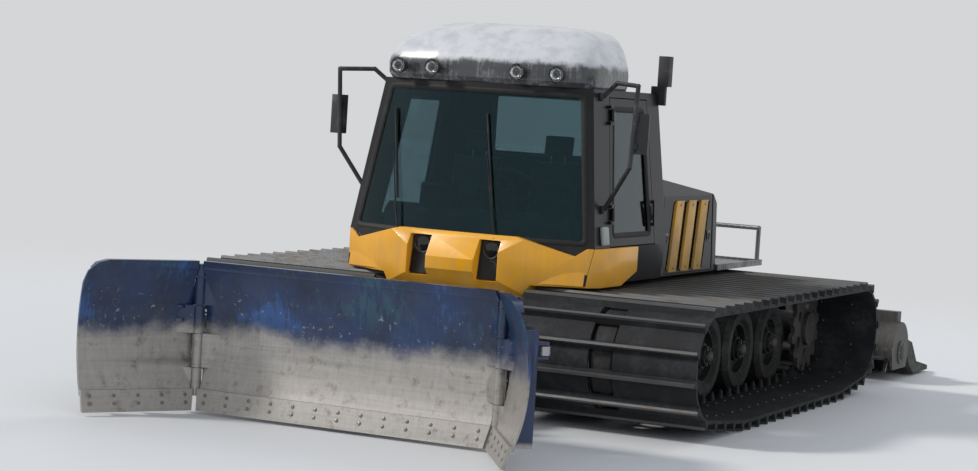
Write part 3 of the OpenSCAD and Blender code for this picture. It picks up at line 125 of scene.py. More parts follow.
class Value:
    """A socket of a material that takes + - * with another one or a number."""

    def __init__(self, tree, socket):
        self.tree, self.socket = tree, socket

    def math(self, operation, *others):
        node = self.tree.make("ShaderNodeMath", operation=operation)
        for slot, other in zip(node.inputs, (self, *others)):
            self.tree.feed(slot, other)
        return Value(self.tree, node.outputs[0])

    def __add__(self, other): return self.math("ADD", other)
    def __sub__(self, other): return self.math("SUBTRACT", other)
    def __mul__(self, other): return self.math("MULTIPLY", other)
    def power(self, other): return self.math("POWER", other)
    def most(self, other): return self.math("MAXIMUM", other)
    def sine(self): return self.math("SINE")
    def size(self): return self.math("ABSOLUTE")

    def ramp(self, low, high, to_low=0.0, to_high=1.0):
        """Smooth step from to_low at low to to_high at high."""
        node = self.tree.make("ShaderNodeMapRange", interpolation_type="SMOOTHSTEP")
        for slot, other in zip(node.inputs, (self, low, high, to_low, to_high)):
            self.tree.feed(slot, other)
        return Value(self.tree, node.outputs[0])


class Finish:
    """One procedural material: a Principled shader fed by object coordinates."""

    def __init__(self, name, **constants):
        self.material = bpy.data.materials.new(name)
        self.material.use_nodes = True
        self.tree = self.material.node_tree
        self.tree.nodes.clear()
        self.shader = self.make("ShaderNodeBsdfPrincipled")
        self.output = self.make("ShaderNodeOutputMaterial")
        self.tree.links.new(self.shader.outputs[0], self.output.inputs[0])
        where = self.make("ShaderNodeTexCoord")
        self.place = Value(self, where.outputs["Object"])
        split = self.make("ShaderNodeSeparateXYZ")
        self.feed(split.inputs[0], self.place)
        self.x, self.y, self.z = (Value(self, socket) for socket in split.outputs)
        self.set(**constants)

    def make(self, kind, **settings):
        node = self.tree.nodes.new(kind)
        for key, value in settings.items():
            setattr(node, key, value)
        return node

    def feed(self, slot, value):
        """Links a socket to a slot, or sets the slot to a number or a colour."""
        if isinstance(value, Value):
            self.tree.links.new(value.socket, slot)
        elif isinstance(value, tuple) and slot.type == "RGBA":
            slot.default_value = (*value, 1.0)
        else:
            slot.default_value = value

    def noise(self, scale, detail=4.0, rough=0.55, drawn=None):
        """Noise over the object; drawn is a scale for each axis, and a small one draws the noise out along it."""
        where = self.place
        if drawn:
            mapping = self.make("ShaderNodeMapping")
            mapping.inputs["Scale"].default_value = drawn
            self.feed(mapping.inputs[0], where)
            where = Value(self, mapping.outputs[0])
        node = self.make("ShaderNodeTexNoise")
        self.feed(node.inputs["Vector"], where)
        for key, value in (("Scale", scale), ("Detail", detail), ("Roughness", rough)):
            node.inputs[key].default_value = value
        return Value(self, node.outputs["Fac"])

    def cells(self, scale):
        node = self.make("ShaderNodeTexVoronoi", feature="F1")
        self.feed(node.inputs["Vector"], self.place)
        node.inputs["Scale"].default_value = scale
        return Value(self, node.outputs["Distance"])

    def mix(self, amount, first, second, kind="RGBA", sockets=(6, 7, 2)):
        """Colours between first and second; the sockets are the mix node's two inputs and its output."""
        node = self.make("ShaderNodeMix", data_type=kind)
        for index, value in zip((0, *sockets), (amount, first, second)):
            self.feed(node.inputs[index], value)
        return Value(self, node.outputs[sockets[2]])

    def blend(self, amount, first, second):
        """Numbers between first and second."""
        return self.mix(amount, first, second, "FLOAT", (2, 3, 0))

    def set(self, **values):
        for key, value in values.items():
            self.feed(self.shader.inputs[key.replace("_", " ")], value)

    def bump(self, height, distance, strength=1.0):
        node = self.make("ShaderNodeBump")
        for key, value in (("Strength", strength), ("Distance", distance), ("Height", height)):
            self.feed(node.inputs[key], value)
        self.tree.links.new(node.outputs[0], self.shader.inputs["Normal"])


def shaded(colour, share, lift=0.0):
    """The colour times a share plus a lift, each channel 1 at most."""
    return tuple(min(1, c * share + lift) for c in colour)


def painted(name, colour, rough, coat, dusty, dust, chips=0.0, shine=0.5):
    """Sprayed paint: slow shade changes, a dust film that thickens downwards, runs of dirt and small chips."""
    f = Finish(name, Coat_Roughness=0.08, Specular_IOR_Level=shine)
    slow, fine = f.noise(1.7, 3), f.noise(38, 5, 0.7)
    runs = f.noise(1.0, 4, 0.6, (26, 26, 1.6))
    low_down = f.z.ramp(2.6, 0.3, 0, 0.22)
    film = (f.noise(4.5, 6, 0.62) * 0.6 + runs * 0.4 + low_down).ramp(0.52, 0.80) * dusty
    body = f.mix(film, f.mix(slow.ramp(0.3, 0.7), shaded(colour, 0.88), shaded(colour, 1.07)), dust)
    gloss = film * 0.45 + fine * 0.06 + rough
    if chips:
        spread = f.noise(60, 6, 0.75) * f.noise(5, 3).ramp(0.35, 0.75)
        chip = spread.ramp(0.455 - 0.04 * chips, 0.475 - 0.04 * chips)
        body, gloss = f.mix(chip, body, (0.10, 0.09, 0.085)), f.blend(chip, gloss, 0.6)
    f.set(Base_Color=body, Roughness=gloss, Coat_Weight=film.ramp(0.0, 0.3, coat, coat * 0.15))
    f.bump(fine * 0.25 + f.noise(300, 2) * 0.08, 0.0006, 0.35)
    return f.material


def roof_paint(name):
    """Pale gloss crown over a dark visor band; both mottled, with runs of water marks down the flanks."""
    f = Finish(name, Coat_Roughness=0.06)
    mottle = f.noise(6, 6, 0.68)
    runs = f.noise(1.0, 4, 0.6, (30, 30, 2.0))
    band = (f.z + mottle * 0.10 + runs * 0.04).ramp(2.715, 2.660)
    crown = f.mix(mottle.ramp(0.42, 0.68) * 0.55, (0.60, 0.61, 0.63), (0.36, 0.37, 0.39))
    marks = (mottle * 0.6 + runs * 0.4).ramp(0.46, 0.66)
    visor = f.mix(marks, (0.045, 0.047, 0.050), (0.20, 0.205, 0.21))
    coat = mottle.ramp(0.35, 0.65, 0.45, 0.15)
    f.set(Base_Color=f.mix(band, crown, visor), Roughness=mottle * 0.16 + 0.18, Coat_Weight=coat)
    f.bump(f.noise(38, 5, 0.7) * 0.3 + f.noise(260, 2) * 0.1, 0.0006, 0.35)
    return f.material


def rubbery(name, colour, rough=0.72, dusty=0.5, dust=(0.30, 0.29, 0.27), scale=1.0):
    """Moulded rubber: matt, scuffed, with pale dust in broad patches."""
    f = Finish(name, Specular_IOR_Level=0.35)
    film = (f.noise(3.2, 6, 0.65) * 0.65 + f.noise(24, 4, 0.7) * 0.35).ramp(0.44, 0.72) * dusty
    scuff = f.noise(1.0, 4, 0.6, (60 * scale, 8 * scale, 60 * scale)).ramp(0.55, 0.75) * 0.25
    body = f.mix(film, f.mix(scuff, colour, shaded(colour, 2.4, 0.02)), dust)
    f.set(Base_Color=body, Roughness=film * 0.15 + rough)
    f.bump(f.noise(180 * scale, 4, 0.7) * 0.6 + f.noise(30 * scale, 3) * 0.4, 0.0012, 0.5)
    return f.material


def bare(name, colour, rough, brushed, grime=0.3, metallic=1.0):
    """Bare metal: fine drawn lines, dull patches and a little brown grime."""
    f = Finish(name, Metallic=metallic)
    lines = f.noise(10, 5, 0.7, brushed)
    dull = f.noise(7, 5, 0.6).ramp(0.4, 0.75)
    body = f.mix(dull * grime, f.mix(lines, shaded(colour, 0.82), colour), (0.16, 0.13, 0.10))
    f.set(Base_Color=body, Roughness=lines * 0.12 + dull * 0.2 + rough)
    f.bump(lines, 0.0004, 0.4)
    return f.material


def tread_plate(name, colour):
    """Aluminium deck plate: raised bars that cross in turn, dull between them and bright on their tops."""
    f = Finish(name, Metallic=0.9)
    pitch = 110.0
    u, v = (f.x + f.y) * pitch, (f.x - f.y) * pitch
    one = (u.sine().size().power(6) * (v * 0.5).sine().size()).ramp(0.25, 0.6)
    other = (v.sine().size().power(6) * (u * 0.5 + math.pi / 2).sine().size()).ramp(0.25, 0.6)
    bars = one.most(other)
    dull = f.noise(5, 6, 0.65).ramp(0.4, 0.72)
    plate = f.mix(dull * 0.45, shaded(colour, 0.75), (0.13, 0.12, 0.105))
    top = f.mix(bars * 0.55, plate, shaded(colour, 1.5))
    f.set(Base_Color=top, Roughness=dull * 0.25 + 0.42 - bars * 0.1)
    f.bump(bars, 0.0018, 0.7)
    return f.material


def blade_paint(name, folded=0):
    """Blue mouldboard, scoured to steel on the lower front; folded is 1 or -1 for a wing, 0 for the middle."""
    f = Finish(name)
    x, y = f.x, f.y - (WING_PIN_Y + SHIFT)
    if folded:
        # Turned back to the straight blade about the wing's pin
        c, s = math.cos(WING_FOLD), math.sin(WING_FOLD)
        y = ((x * folded) - BLADE_HW) * s + y * c
    depth = y + (WING_PIN_Y + BLADE_Y + BLADE_R)
    height = f.z - BOARD_MID_Z
    radius = (depth * depth + height * height).power(0.5)
    front = radius.ramp(BLADE_R + 0.014, BLADE_R + 0.010)
    worn_line = f.noise(1.4, 3) * 0.22 + f.noise(9, 5, 0.65) * 0.16
    upright = f.noise(1.0, 5, 0.7, (38, 38, 1.2))
    level = f.noise(1.0, 5, 0.7, (1.5, 1.5, 60))
    flecks = (f.noise(26, 6, 0.75) + worn_line).ramp(0.80, 0.88) * front * f.z.ramp(0.98, 0.70)
    worn = ((f.z + worn_line).ramp(0.86, 0.70) * front).most(flecks).most(f.z.ramp(0.20, 0.17) * 0.9)
    blue = f.mix(f.noise(2.2, 4).ramp(0.3, 0.7), (0.003, 0.012, 0.042), (0.006, 0.030, 0.105))
    film = (f.noise(5, 6, 0.65) * 0.7 + upright * 0.3).ramp(0.45, 0.75) * 0.25
    blue = f.mix(film, blue, (0.10, 0.115, 0.13))
    patches = (f.noise(1.0, 5, 0.7, (24, 24, 2.2)) * f.noise(2.6, 3)).ramp(0.27, 0.36)
    blue = f.mix(patches * f.z.ramp(0.62, 0.90) * 0.6, blue, (0.016, 0.085, 0.12))
    # Brighter blue in patches towards the top of the blade
    brighter_top_patches = (f.noise(2.3, 3, 0.6) * 0.7 + upright * 0.3).ramp(0.56, 0.62) * f.z.ramp(0.55, 0.75)
    blue = f.mix(brighter_top_patches * 0.7, blue, (0.020, 0.085, 0.26))
    steel = f.mix(level * 0.5 + upright * 0.5, (0.20, 0.185, 0.17), (0.52, 0.50, 0.47))
    steel = f.mix(f.noise(12, 6, 0.7).ramp(0.52, 0.72) * 0.6, steel, (0.14, 0.10, 0.07))
    f.set(
        Base_Color=f.mix(worn, blue, steel),
        Roughness=f.blend(worn, film * 0.4 + 0.30, level * 0.25 + 0.32),
        Metallic=worn * 0.65,
        Coat_Weight=f.blend(worn, 0.2, 0.0),
    )
    f.bump(level * 0.5 + f.noise(120, 4, 0.7) * 0.3, 0.0008, 0.5)
    return f.material


def tinted_glass(name, tint):
    """Dark tinted window glass with a faint film of dust."""
    f = Finish(name, IOR=1.45, Transmission_Weight=1.0, Specular_IOR_Level=0.38, Specular_Tint=(0.42, 0.72, 0.80))
    film = (f.noise(3, 6, 0.6) * 0.6 + f.noise(1.0, 4, 0.6, (20, 20, 1.4)) * 0.4).ramp(0.5, 0.8)
    f.set(Base_Color=f.mix(film * 0.10, tint, (0.30, 0.30, 0.29)), Roughness=film * 0.10 + 0.01)
    return f.material


def woven(name, colour):
    """Woven seat cloth: two crossing rows of threads."""
    f = Finish(name, Sheen_Weight=0.35, Sheen_Roughness=0.4)
    threads = 2600
    weave = ((f.x + f.z * 0.2) * threads).sine() * ((f.z + f.y) * threads).sine() * 0.5 + 0.5
    worn = f.noise(6, 4).ramp(0.4, 0.75) * 0.3
    cloth = f.mix(weave * 0.5 + worn, colour, shaded(colour, 2.2, 0.01))
    f.set(Base_Color=cloth, Roughness=weave * 0.08 + 0.82)
    f.bump(weave, 0.0006, 0.6)
    return f.material


def grained(name, colour, rough=0.5, dusty=0.25):
    """Moulded plastic with a leather grain."""
    f = Finish(name)
    grain = f.cells(420)
    film = f.noise(5, 6, 0.65).ramp(0.5, 0.75) * dusty
    f.set(Base_Color=f.mix(film, colour, (0.32, 0.31, 0.29)), Roughness=grain * 0.1 + film * 0.2 + rough)
    f.bump(grain, 0.0005, 0.5)
    return f.material


def lens_plastic(name, tint, ribs=0, rough=0.04, clear=0.55):
    """Moulded lamp lens: clear plastic over a ribbed back; ribs is their number per metre."""
    f = Finish(name, IOR=1.49, Transmission_Weight=clear)
    wave = (f.x * (ribs * 2 * math.pi)).sine() * 0.5 + 0.5 if ribs else f.noise(30, 3)
    f.set(Base_Color=f.mix(wave * 0.35, tint, shaded(tint, 0.72)), Roughness=f.noise(8, 4) * 0.10 + rough)
    f.bump(wave, 0.0012, 0.6)
    return f.material


def screen_glass(name):
    """Dark display glass with faint fingerprints."""
    f = Finish(name)
    smear = f.noise(9, 5, 0.6).ramp(0.45, 0.75)
    dark = f.mix(smear * 0.15, (0.006, 0.008, 0.011), (0.06, 0.065, 0.07))
    f.set(Base_Color=dark, Roughness=smear * 0.2 + 0.05)
    f.bump(smear, 0.0001, 0.2)
    return f.material


# Finishes of the part's own slots
YELLOW = painted("body_yellow", (0.88, 0.405, 0.006), 0.30, 0.35, 0.24, (0.34, 0.27, 0.17))
CAB = painted("cab_black", (0.006, 0.006, 0.007), 0.34, 0.10, 0.12, (0.10, 0.10, 0.10), shine=0.26)
BLACK = painted("chassis_black", (0.010, 0.010, 0.011), 0.42, 0.15, 0.35, (0.16, 0.15, 0.13), chips=0.8)
ROOF = roof_paint("roof_grey")
# Slat paint: the body's yellow made darker and browner as painted shade, for slats that stand in shade
SHADED_SLAT_YELLOW = painted("slat_yellow_painted_shade", (0.60, 0.33, 0.055), 0.42, 0.15, 0.55, (0.30, 0.23, 0.15))
GLASS = tinted_glass("window_glass", (0.26, 0.35, 0.375))
TRIM = grained("trim_plastic", (0.018, 0.018, 0.020))
SEAT = woven("seat_fabric", (0.022, 0.022, 0.026))
TYRE = rubbery("tyre_rubber", (0.014, 0.014, 0.014), dusty=0.3, dust=(0.18, 0.18, 0.17))
TRACK = rubbery("track_rubber", (0.009, 0.0095, 0.011), dusty=0.18, dust=(0.16, 0.17, 0.18))
IRON = bare("engine_iron", (0.10, 0.10, 0.10), 0.55, (30, 30, 30), 0.6, 0.6)
DECK = tread_plate("deck_aluminium", (0.26, 0.27, 0.28))
BLADE = blade_paint("blade_blue")
WING = {side: blade_paint(f"wing_blue_{hand}", side) for side, hand in SIDES}
CHROME = bare("rod_chrome", (0.44, 0.44, 0.46), 0.22, (60, 4, 60), 0.08)
TEETH = bare("tooth_steel", (0.40, 0.39, 0.38), 0.38, (20, 20, 20), 0.5)
MAT = rubbery("mat_rubber", (0.020, 0.020, 0.020), dusty=0.4)

# Finishes of the scene's own pieces
SEAL_RUBBER = rubbery("seal_rubber", (0.008, 0.008, 0.008), 0.62, 0.15, (0.12, 0.12, 0.12), 2.0)
SATIN = grained("satin_plastic", (0.010, 0.010, 0.011), 0.42, 0.2)
MIRROR = bare("silvered", (0.66, 0.67, 0.68), 0.03, (3, 3, 3), 0.04)
LENS = lens_plastic("lamp_glass", (0.90, 0.93, 0.94), 0, 0.01, 1.0)
SMOKED = lens_plastic("smoked_glass", (0.030, 0.032, 0.034), 0, 0.03)
CLEAR_LENS = lens_plastic("rear_lamp_glass", (0.72, 0.75, 0.76), 180)
RED_LENS = lens_plastic("tail_red", (0.45, 0.008, 0.006), 220)
AMBER_LENS = lens_plastic("turn_amber", (0.70, 0.20, 0.010), 220)
SCREEN = screen_glass("screen_glass")
ZINC = bare("zinc_bolts", (0.24, 0.24, 0.23), 0.40, (20, 20, 20), 0.5)
BAR_STEEL = bare("bar_edge_steel", (0.13, 0.135, 0.14), 0.40, (6, 50, 50), 0.6, 0.85)
BOX_GREY = grained("box_grey", (0.34, 0.35, 0.34), 0.45, 0.4)
SEAT_CLOTH = woven("cushion_cloth", (0.020, 0.020, 0.023))

SLOT_FINISH = {
    "body_yellow": YELLOW, "cab_black": CAB, "chassis_black": BLACK, "roof_grey": ROOF, "window_glass": GLASS,
    "trim_plastic": TRIM, "seat_fabric": SEAT, "tyre_rubber": TYRE, "track_rubber": TRACK, "engine_iron": IRON,
    "deck_aluminium": DECK, "blade_blue": BLADE, "rod_chrome": CHROME, "tooth_steel": TEETH, "mat_rubber": MAT,
}
NODE_FINISH = {"wing_left": WING[1], "wing_right": WING[-1], "slats_left": SHADED_SLAT_YELLOW, "slats_right": SHADED_SLAT_YELLOW}
# Record slot names for the finishes of the pieces made here, where the finish isn't the slot's own; build looks them
# up but sets no slot
PIECE_SLOT = {
    "seal_rubber": "mat_rubber", "satin_plastic": "trim_plastic", "silvered": "rod_chrome", "box_grey": "roof_grey",
    "zinc_bolts": "tooth_steel", "bar_edge_steel": "tooth_steel",
    **dict.fromkeys(
        ("lamp_glass", "smoked_glass", "rear_lamp_glass", "tail_red", "turn_amber", "screen_glass"), "window_glass",
    ),
}


def slot_of(finish):
    """The record's slot for a finish; Blender may have numbered its name."""
    name = finish.name.split(".")[0]
    return PIECE_SLOT.get(name, name)


def node_object(name):
    return nodes[name] if not isinstance(nodes[name], str) else bpy.data.objects[nodes[name]]


for part in frame["record"]["subparts"]:
    finish = NODE_FINISH.get(part["node"], SLOT_FINISH[part["material_slot"]])
    for slot in node_object(part["node"]).material_slots:
        slot.material = finish


def mesh_object(name, points, faces, finish):
    mesh = bpy.data.meshes.new(name)
    mesh.from_pydata([tuple(map(float, p)) for p in points], [], [tuple(map(int, f)) for f in faces])
    mesh.materials.append(finish)
    mesh.shade_smooth()
    thing = bpy.data.objects.new(name, mesh)
    bpy.context.scene.collection.objects.link(thing)
    return thing


# Surfaces


class Piece:
    """Closed skins gathered into one mesh; each skin is a grid of rows of points, its normals turned outwards."""

    def __init__(self):
        self.points, self.faces, self.count = [], [], 0

    def skin(self, rows, ring=False):
        """Joins neighbouring closed rows with quads; ends are filled, or with ring the last row meets the first."""
        rows = np.asarray(rows, float)
        many, around, _ = rows.shape
        index = self.count + np.arange(many * around).reshape(many, around)
        low, high = (index, np.roll(index, -1, 0)) if ring else (index[:-1], index[1:])
        quads = np.stack([low, np.roll(low, -1, 1), np.roll(high, -1, 1), high], -1).reshape(-1, 4)
        flat = rows.reshape(-1, 3)
        a, b, c, d = (flat[quads[:, k] - self.count] - flat[0] for k in range(4))
        volume = (np.cross(a, b) * c).sum() + (np.cross(a, c) * d).sum()
        if not ring:
            for row, side in ((rows[0], -1), (rows[-1], 1)):
                fan = row - flat[0]
                volume += side * (np.cross(fan[1:-1], fan[2:]) * fan[0]).sum()
        faces = [tuple(q) for q in (quads if volume > 0 else quads[:, ::-1]).tolist()]
        if not ring:
            turn = 1 if volume > 0 else -1
            faces += [tuple(index[0][::-turn].tolist()), tuple(index[-1][::turn].tolist())]
        self.points.append(flat)
        self.faces += faces
        self.count += many * around
        return self

    def turned(self, base, axis, profile, sides=24):
        """Surface of revolution: base + axis * h + (u cos t + v sin t) * r for each (h, r) of the profile."""
        base, axis = np.asarray(base, float), unit(axis)
        u, v = across(axis)
        t = full_turn(sides)
        spokes = np.outer(np.cos(t), u) + np.outer(np.sin(t), v)
        return self.skin([base + axis * h + spokes * r for h, r in profile])

    def run(self, path, radius, sides=10, ring=False, flat=1.0):
        """Tube: circles of the radius carried along the path in planes square to it, without twist."""
        path = np.asarray(path, float)
        ahead = path_tangents(path, ring)
        u = across(ahead[0])[0]
        t = full_turn(sides)
        rows = []
        for spot, way, r in zip(path, ahead, np.broadcast_to(radius, len(path))):
            u = unit(u - way * (u @ way))
            v = np.cross(way, u)
            rows.append(spot + (np.outer(np.cos(t), u) + np.outer(np.sin(t), v) * flat) * r)
        return self.skin(rows, ring)

    def strip(self, path, ups, section):
        """Profile carried round a closed path: spot + side * s + up * n for each (s, n), with side = way x up."""
        side = np.cross(path_tangents(path, True), ups)
        side /= np.linalg.norm(side, axis=1, keepdims=True)
        across_path, along_up = side[:, None] * section[None, :, :1], ups[:, None] * section[None, :, 1:]
        return self.skin(path[:, None] + across_path + along_up, True)

    def slab(self, spot, u, v, halves, thick, corner=0.25, edge=0.25, crown=0.0, steps=4):
        """Rounded plate: rounded rectangles in u, v, stacked along u x v, drawn in at both ends by quarter rounds."""
        u, v = unit(u), unit(v)
        w = np.cross(u, v)
        (hu, hv), spot = halves, np.asarray(spot, float)
        round_r = corner * min(hu, hv)
        fillet = min(edge * thick, round_r * 0.9)
        levels = [(fillet * (1 - math.sin(b)), fillet * (1 - math.cos(b))) for b in np.linspace(0, np.pi / 2, 4)]
        rows = []
        for inset, rise in levels + [(inset, thick - rise) for inset, rise in levels[::-1]]:
            ring = rounded_rectangle(hu - inset, hv - inset, max(round_r - inset, 1e-4), steps)
            rows.append(spot + np.outer(ring[:, 0], u) + np.outer(ring[:, 1], v) + w * rise)
        if crown:
            top = spot + w * (thick + crown)
            last = rows[-1]
            for share in (0.75, 0.5, 0.25):
                rows.append((last - top + w * crown) * share + top - w * crown * share**2)
        return self.skin(rows)

    def bolts(self, spots, axis, radius, height):
        """Hexagon heads: six-sided turned forms with a bevelled top."""
        for spot in spots:
            self.turned(spot, axis, [(-height * 0.4, radius), (height * 0.75, radius), (height, radius * 0.82)], 6)

    def build(self, name, finish, body="carrier", crease=32, slot=None):
        thing = mesh_object(name, np.concatenate(self.points), self.faces, finish)
        thing.data.set_sharp_from_angle(angle=math.radians(crease))
        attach(thing, body)
        slot or slot_of(finish)


def unit(v):
    v = np.asarray(v, float)
    return v / np.linalg.norm(v)


def across(axis):
    """Two unit vectors square to an axis and to each other."""
    helper = np.array([0, 0, 1.0]) if abs(axis[2]) < 0.9 else np.array([1.0, 0, 0])
    u = unit(np.cross(helper, axis))
    return u, np.cross(axis, u)


def path_tangents(path, ring):
    ahead = np.roll(path, -1, 0) - np.roll(path, 1, 0) if ring else np.gradient(path, axis=0)
    return ahead / np.linalg.norm(ahead, axis=1, keepdims=True)


def rounded_rectangle(hu, hv, corner, steps):
    """Quarter circles of the corner's radius about the four corner centres, anticlockwise."""
    t = np.linspace(0, np.pi / 2, steps + 1)
    rows = []
    for k, (su, sv) in enumerate(((1, 1), (-1, 1), (-1, -1), (1, -1))):
        a = t + k * np.pi / 2
        rows.append(np.stack([su * (hu - corner) + corner * np.cos(a), sv * (hv - corner) + corner * np.sin(a)], 1))
    return np.concatenate(rows)


def rounded_outline(corners, radius):
    """Polygon with each corner a quadratic bend that starts and ends at the radius from it, straight runs divided."""
    corners = np.asarray(corners, float)
    t, share = np.linspace(0, 1, 6)[:, None], np.linspace(0, 1, 14)[1:-1, None]
    spots = []
    for before, corner, after in zip(np.roll(corners, 1, 0), corners, np.roll(corners, -1, 0)):
        a, b = corner + unit(before - corner) * radius, corner + unit(after - corner) * radius
        far = after + unit(corner - after) * radius
        spots += [(1 - t) ** 2 * a + 2 * t * (1 - t) * corner + t**2 * b, b + (far - b) * share]
    return np.concatenate(spots)


def smooth_path(knots, steps=8):
    """Catmull-Rom curve through the knots."""
    knots = np.asarray(knots, float)
    padded = np.vstack([2 * knots[0] - knots[1], knots, 2 * knots[-1] - knots[-2]])
    t = np.linspace(0, 1, steps, endpoint=False)[:, None]
    spots = [
        0.5 * (2 * b + (c - a) * t + (2 * a - 5 * b + 4 * c - d) * t**2 + (3 * b - a - 3 * c + d) * t**3)
        for a, b, c, d in zip(padded, padded[1:], padded[2:], padded[3:])
    ]
    return np.vstack(spots + [knots[-1:]])


def full_turn(count):
    return np.linspace(0, 2 * np.pi, count, endpoint=False)


def ellipse(centre, radius_y, radius_z, count, out=0.0):
    """Places centre + (out, radius_y cos t, radius_z sin t), evenly over a full turn of t."""
    t = full_turn(count)
    return centre + np.stack([0 * t + out, radius_y * np.cos(t), radius_z * np.sin(t)], 1)


# Forms of the cab that several pieces follow


def shield(x, z, proud=0.0):
    """Bowed windshield: a leaning cylinder of SHIELD_R; gives the place over x, z and the outward normal."""
    x, z = np.broadcast_arrays(np.asarray(x, float), np.asarray(z, float))
    c, s = math.cos(SHIELD_LEAN), math.sin(SHIELD_LEAN)
    bow = np.arcsin(x / SHIELD_R)
    local = -SHIELD_R * np.cos(bow)
    up = (z - BELT_Z + local * s) / c
    normal = np.stack([np.sin(bow), -np.cos(bow) * c, np.cos(bow) * s], -1)
    spot = np.stack([x, -CAB_FRONT + SHIELD_R + local * c + up * s + SHIFT, z], -1)
    return spot + normal * np.asarray(proud, float)[..., None], normal


def side_x(z):
    """Half width of the cab's leaning side."""
    return BELT_HW + (TOP_HW - BELT_HW) * (np.asarray(z, float) - BELT_Z) / (CAB_TOP_Z - BELT_Z)


SIDE_NORMAL = unit([CAB_TOP_Z - BELT_Z, 0, BELT_HW - TOP_HW])


def cab_side(y, z, proud=0.0):
    """Leaning left side of the cab, and its normal."""
    y, z = np.broadcast_arrays(np.asarray(y, float), np.asarray(z, float))
    spot = np.stack([side_x(z), y + SHIFT, z], -1)
    return spot + SIDE_NORMAL * proud, np.broadcast_to(SIDE_NORMAL, spot.shape)


def rear_wall(x, z):
    """Flat rear wall of the cab, and its normal."""
    spot = np.stack([x, np.full_like(x, -CAB_REAR + SHIFT), z], -1)
    return spot, np.broadcast_to(np.array([0, 1.0, 0]), spot.shape)


# CAD nodes: merged and shaded smooth below an angle, with small rounded edges on the plate-made ones

WELD_WITHIN = 2e-5


def smooth_group(angle):
    """Geometry nodes: merge doubles, shade faces smooth, mark edges sharper than the angle."""
    group = bpy.data.node_groups.new("smooth_below", "GeometryNodeTree")
    for in_out in ("INPUT", "OUTPUT"):
        group.interface.new_socket("Geometry", in_out=in_out, socket_type="NodeSocketGeometry")
    make, link = group.nodes.new, group.links.new
    start, end, weld = make("NodeGroupInput"), make("NodeGroupOutput"), make("GeometryNodeMergeByDistance")
    edges, faces = make("GeometryNodeSetShadeSmooth"), make("GeometryNodeSetShadeSmooth")
    bend, flat = make("GeometryNodeInputMeshEdgeAngle"), make("FunctionNodeCompare")
    weld.inputs["Distance"].default_value = WELD_WITHIN
    flat.operation, flat.inputs[1].default_value = "LESS_EQUAL", angle
    edges.domain, faces.domain = "EDGE", "FACE"
    faces.inputs["Shade Smooth"].default_value = True
    link(bend.outputs[0], flat.inputs[0])
    link(flat.outputs[0], edges.inputs["Shade Smooth"])
    for before, after in zip((start, weld, edges, faces), (weld, edges, faces, end)):
        link(before.outputs[0], after.inputs[0])
    return group


SMOOTH = smooth_group(math.radians(30))
# Widths of the rounded edges
PLATE_MADE = {
    "nose": 0.006, "engine_cover": 0.005, "flap_left": 0.003, "flap_right": 0.003, "roof_lamps": 0.003,
    "mirrors": 0.003, "dashboard": 0.006, "slats_left": 0.003, "slats_right": 0.003,
}
for name in nodes:
    change = node_object(name).modifiers
    if name in PLATE_MADE:
        change.new("weld", "WELD").merge_threshold = WELD_WITHIN
        flatten = change.new("flatten", "DECIMATE")
        flatten.decimate_type, flatten.angle_limit = "DISSOLVE", math.radians(0.5)
        bevel = change.new("edges", "BEVEL")
        bevel.width, bevel.segments, bevel.harden_normals = PLATE_MADE[name], 2, False
        bevel.limit_method, bevel.angle_limit = "ANGLE", math.radians(35)
    change.new("smooth", "NODES").node_group = SMOOTH

# Window seals, wipers and the other fittings of the cab

SEAL_LIP = np.array(mm((-24, -13), (-24, -7), (-16, -1), (-4, 4), (10, 5), (16, 2), (17, -3)))


def seal(name, body, surface, corners, radius, flip=False):
    """Moulded rubber lip carried round a window opening, from the glass out over the edge of the opening."""
    flat = rounded_outline(corners, radius)
    spots, ups = surface(flat[:, 0], flat[:, 1])
    Piece().strip(spots, ups, SEAL_LIP * ((-1, 1) if flip else (1, 1))).build(name, SEAL_RUBBER, body, 50)


def door_side(side):
    """The cab's side as a surface over y and z, for the left (1) or the right (-1)."""
    return lambda y, z: [sided(values, side) for values in cab_side(y, z)]


low_x, high_x = BELT_HW - PILLAR_W, TOP_HW - PILLAR_W
low_z, high_z = BELT_Z + 0.025, CAB_TOP_Z - 0.055
seal("shield_seal", "carrier", shield, [(-low_x, low_z), (low_x, low_z), (high_x, high_z), (-high_x, high_z)], 0.05)
rear_corners = [(-0.54, 1.89), (0.54, 1.89), (0.54, 2.38), (-0.54, 2.38)]
seal("rear_window_seal", "carrier", rear_wall, rear_corners, 0.05, True)
m = DOOR_FRAME
door_corners = [
    (-DOOR_FRONT + m, DOOR_SILL + m), (-DOOR_REAR - m, DOOR_SILL + m),
    (-DOOR_REAR - m, DOOR_HEAD - m), (-DOOR_FRONT + DOOR_LEAN + m, DOOR_HEAD - m),
]
for side, hand in SIDES:
    seal(f"door_seal_{hand}", f"door_{hand}", door_side(side), door_corners, 0.045, side < 0)

# Wipers: a spindle, an arm and a blade that lie on the bowed glass
SPINDLE_Z, ARM_L = BELT_Z + 0.012, 0.60
wipers, wiper_rubber = Piece(), Piece()
for foot, tip in ((-0.52, -0.66), (0.30, 0.16)):
    base, up = shield(foot, SPINDLE_Z, 0.004)
    wipers.turned(base, up, mm((-12, 22), (20, 22), (34, 15), (40, 6)), 16)
    lift = 0.018 + 0.012 * np.sin(np.linspace(0, np.pi, 9))
    arm = shield(np.linspace(foot, tip, 9), np.linspace(SPINDLE_Z, BELT_Z + ARM_L, 9), lift)[0]
    wipers.run(arm, np.linspace(0.011, 0.006, 9), 8, flat=0.6)
    z = np.linspace(BELT_Z + 0.26, BELT_Z + 0.94, 15)
    x = foot + (z - BELT_Z) * (tip - foot) / ARM_L * 0.9
    wipers.run(shield(x, z, 0.012)[0], 0.006, 6)
    wiper_rubber.run(shield(x, z, -0.004)[0], 0.007, 6, flat=0.45)
wipers.build("wiper_arms", SATIN, slot="cab_black")
wiper_rubber.build("wiper_blades", SEAL_RUBBER)

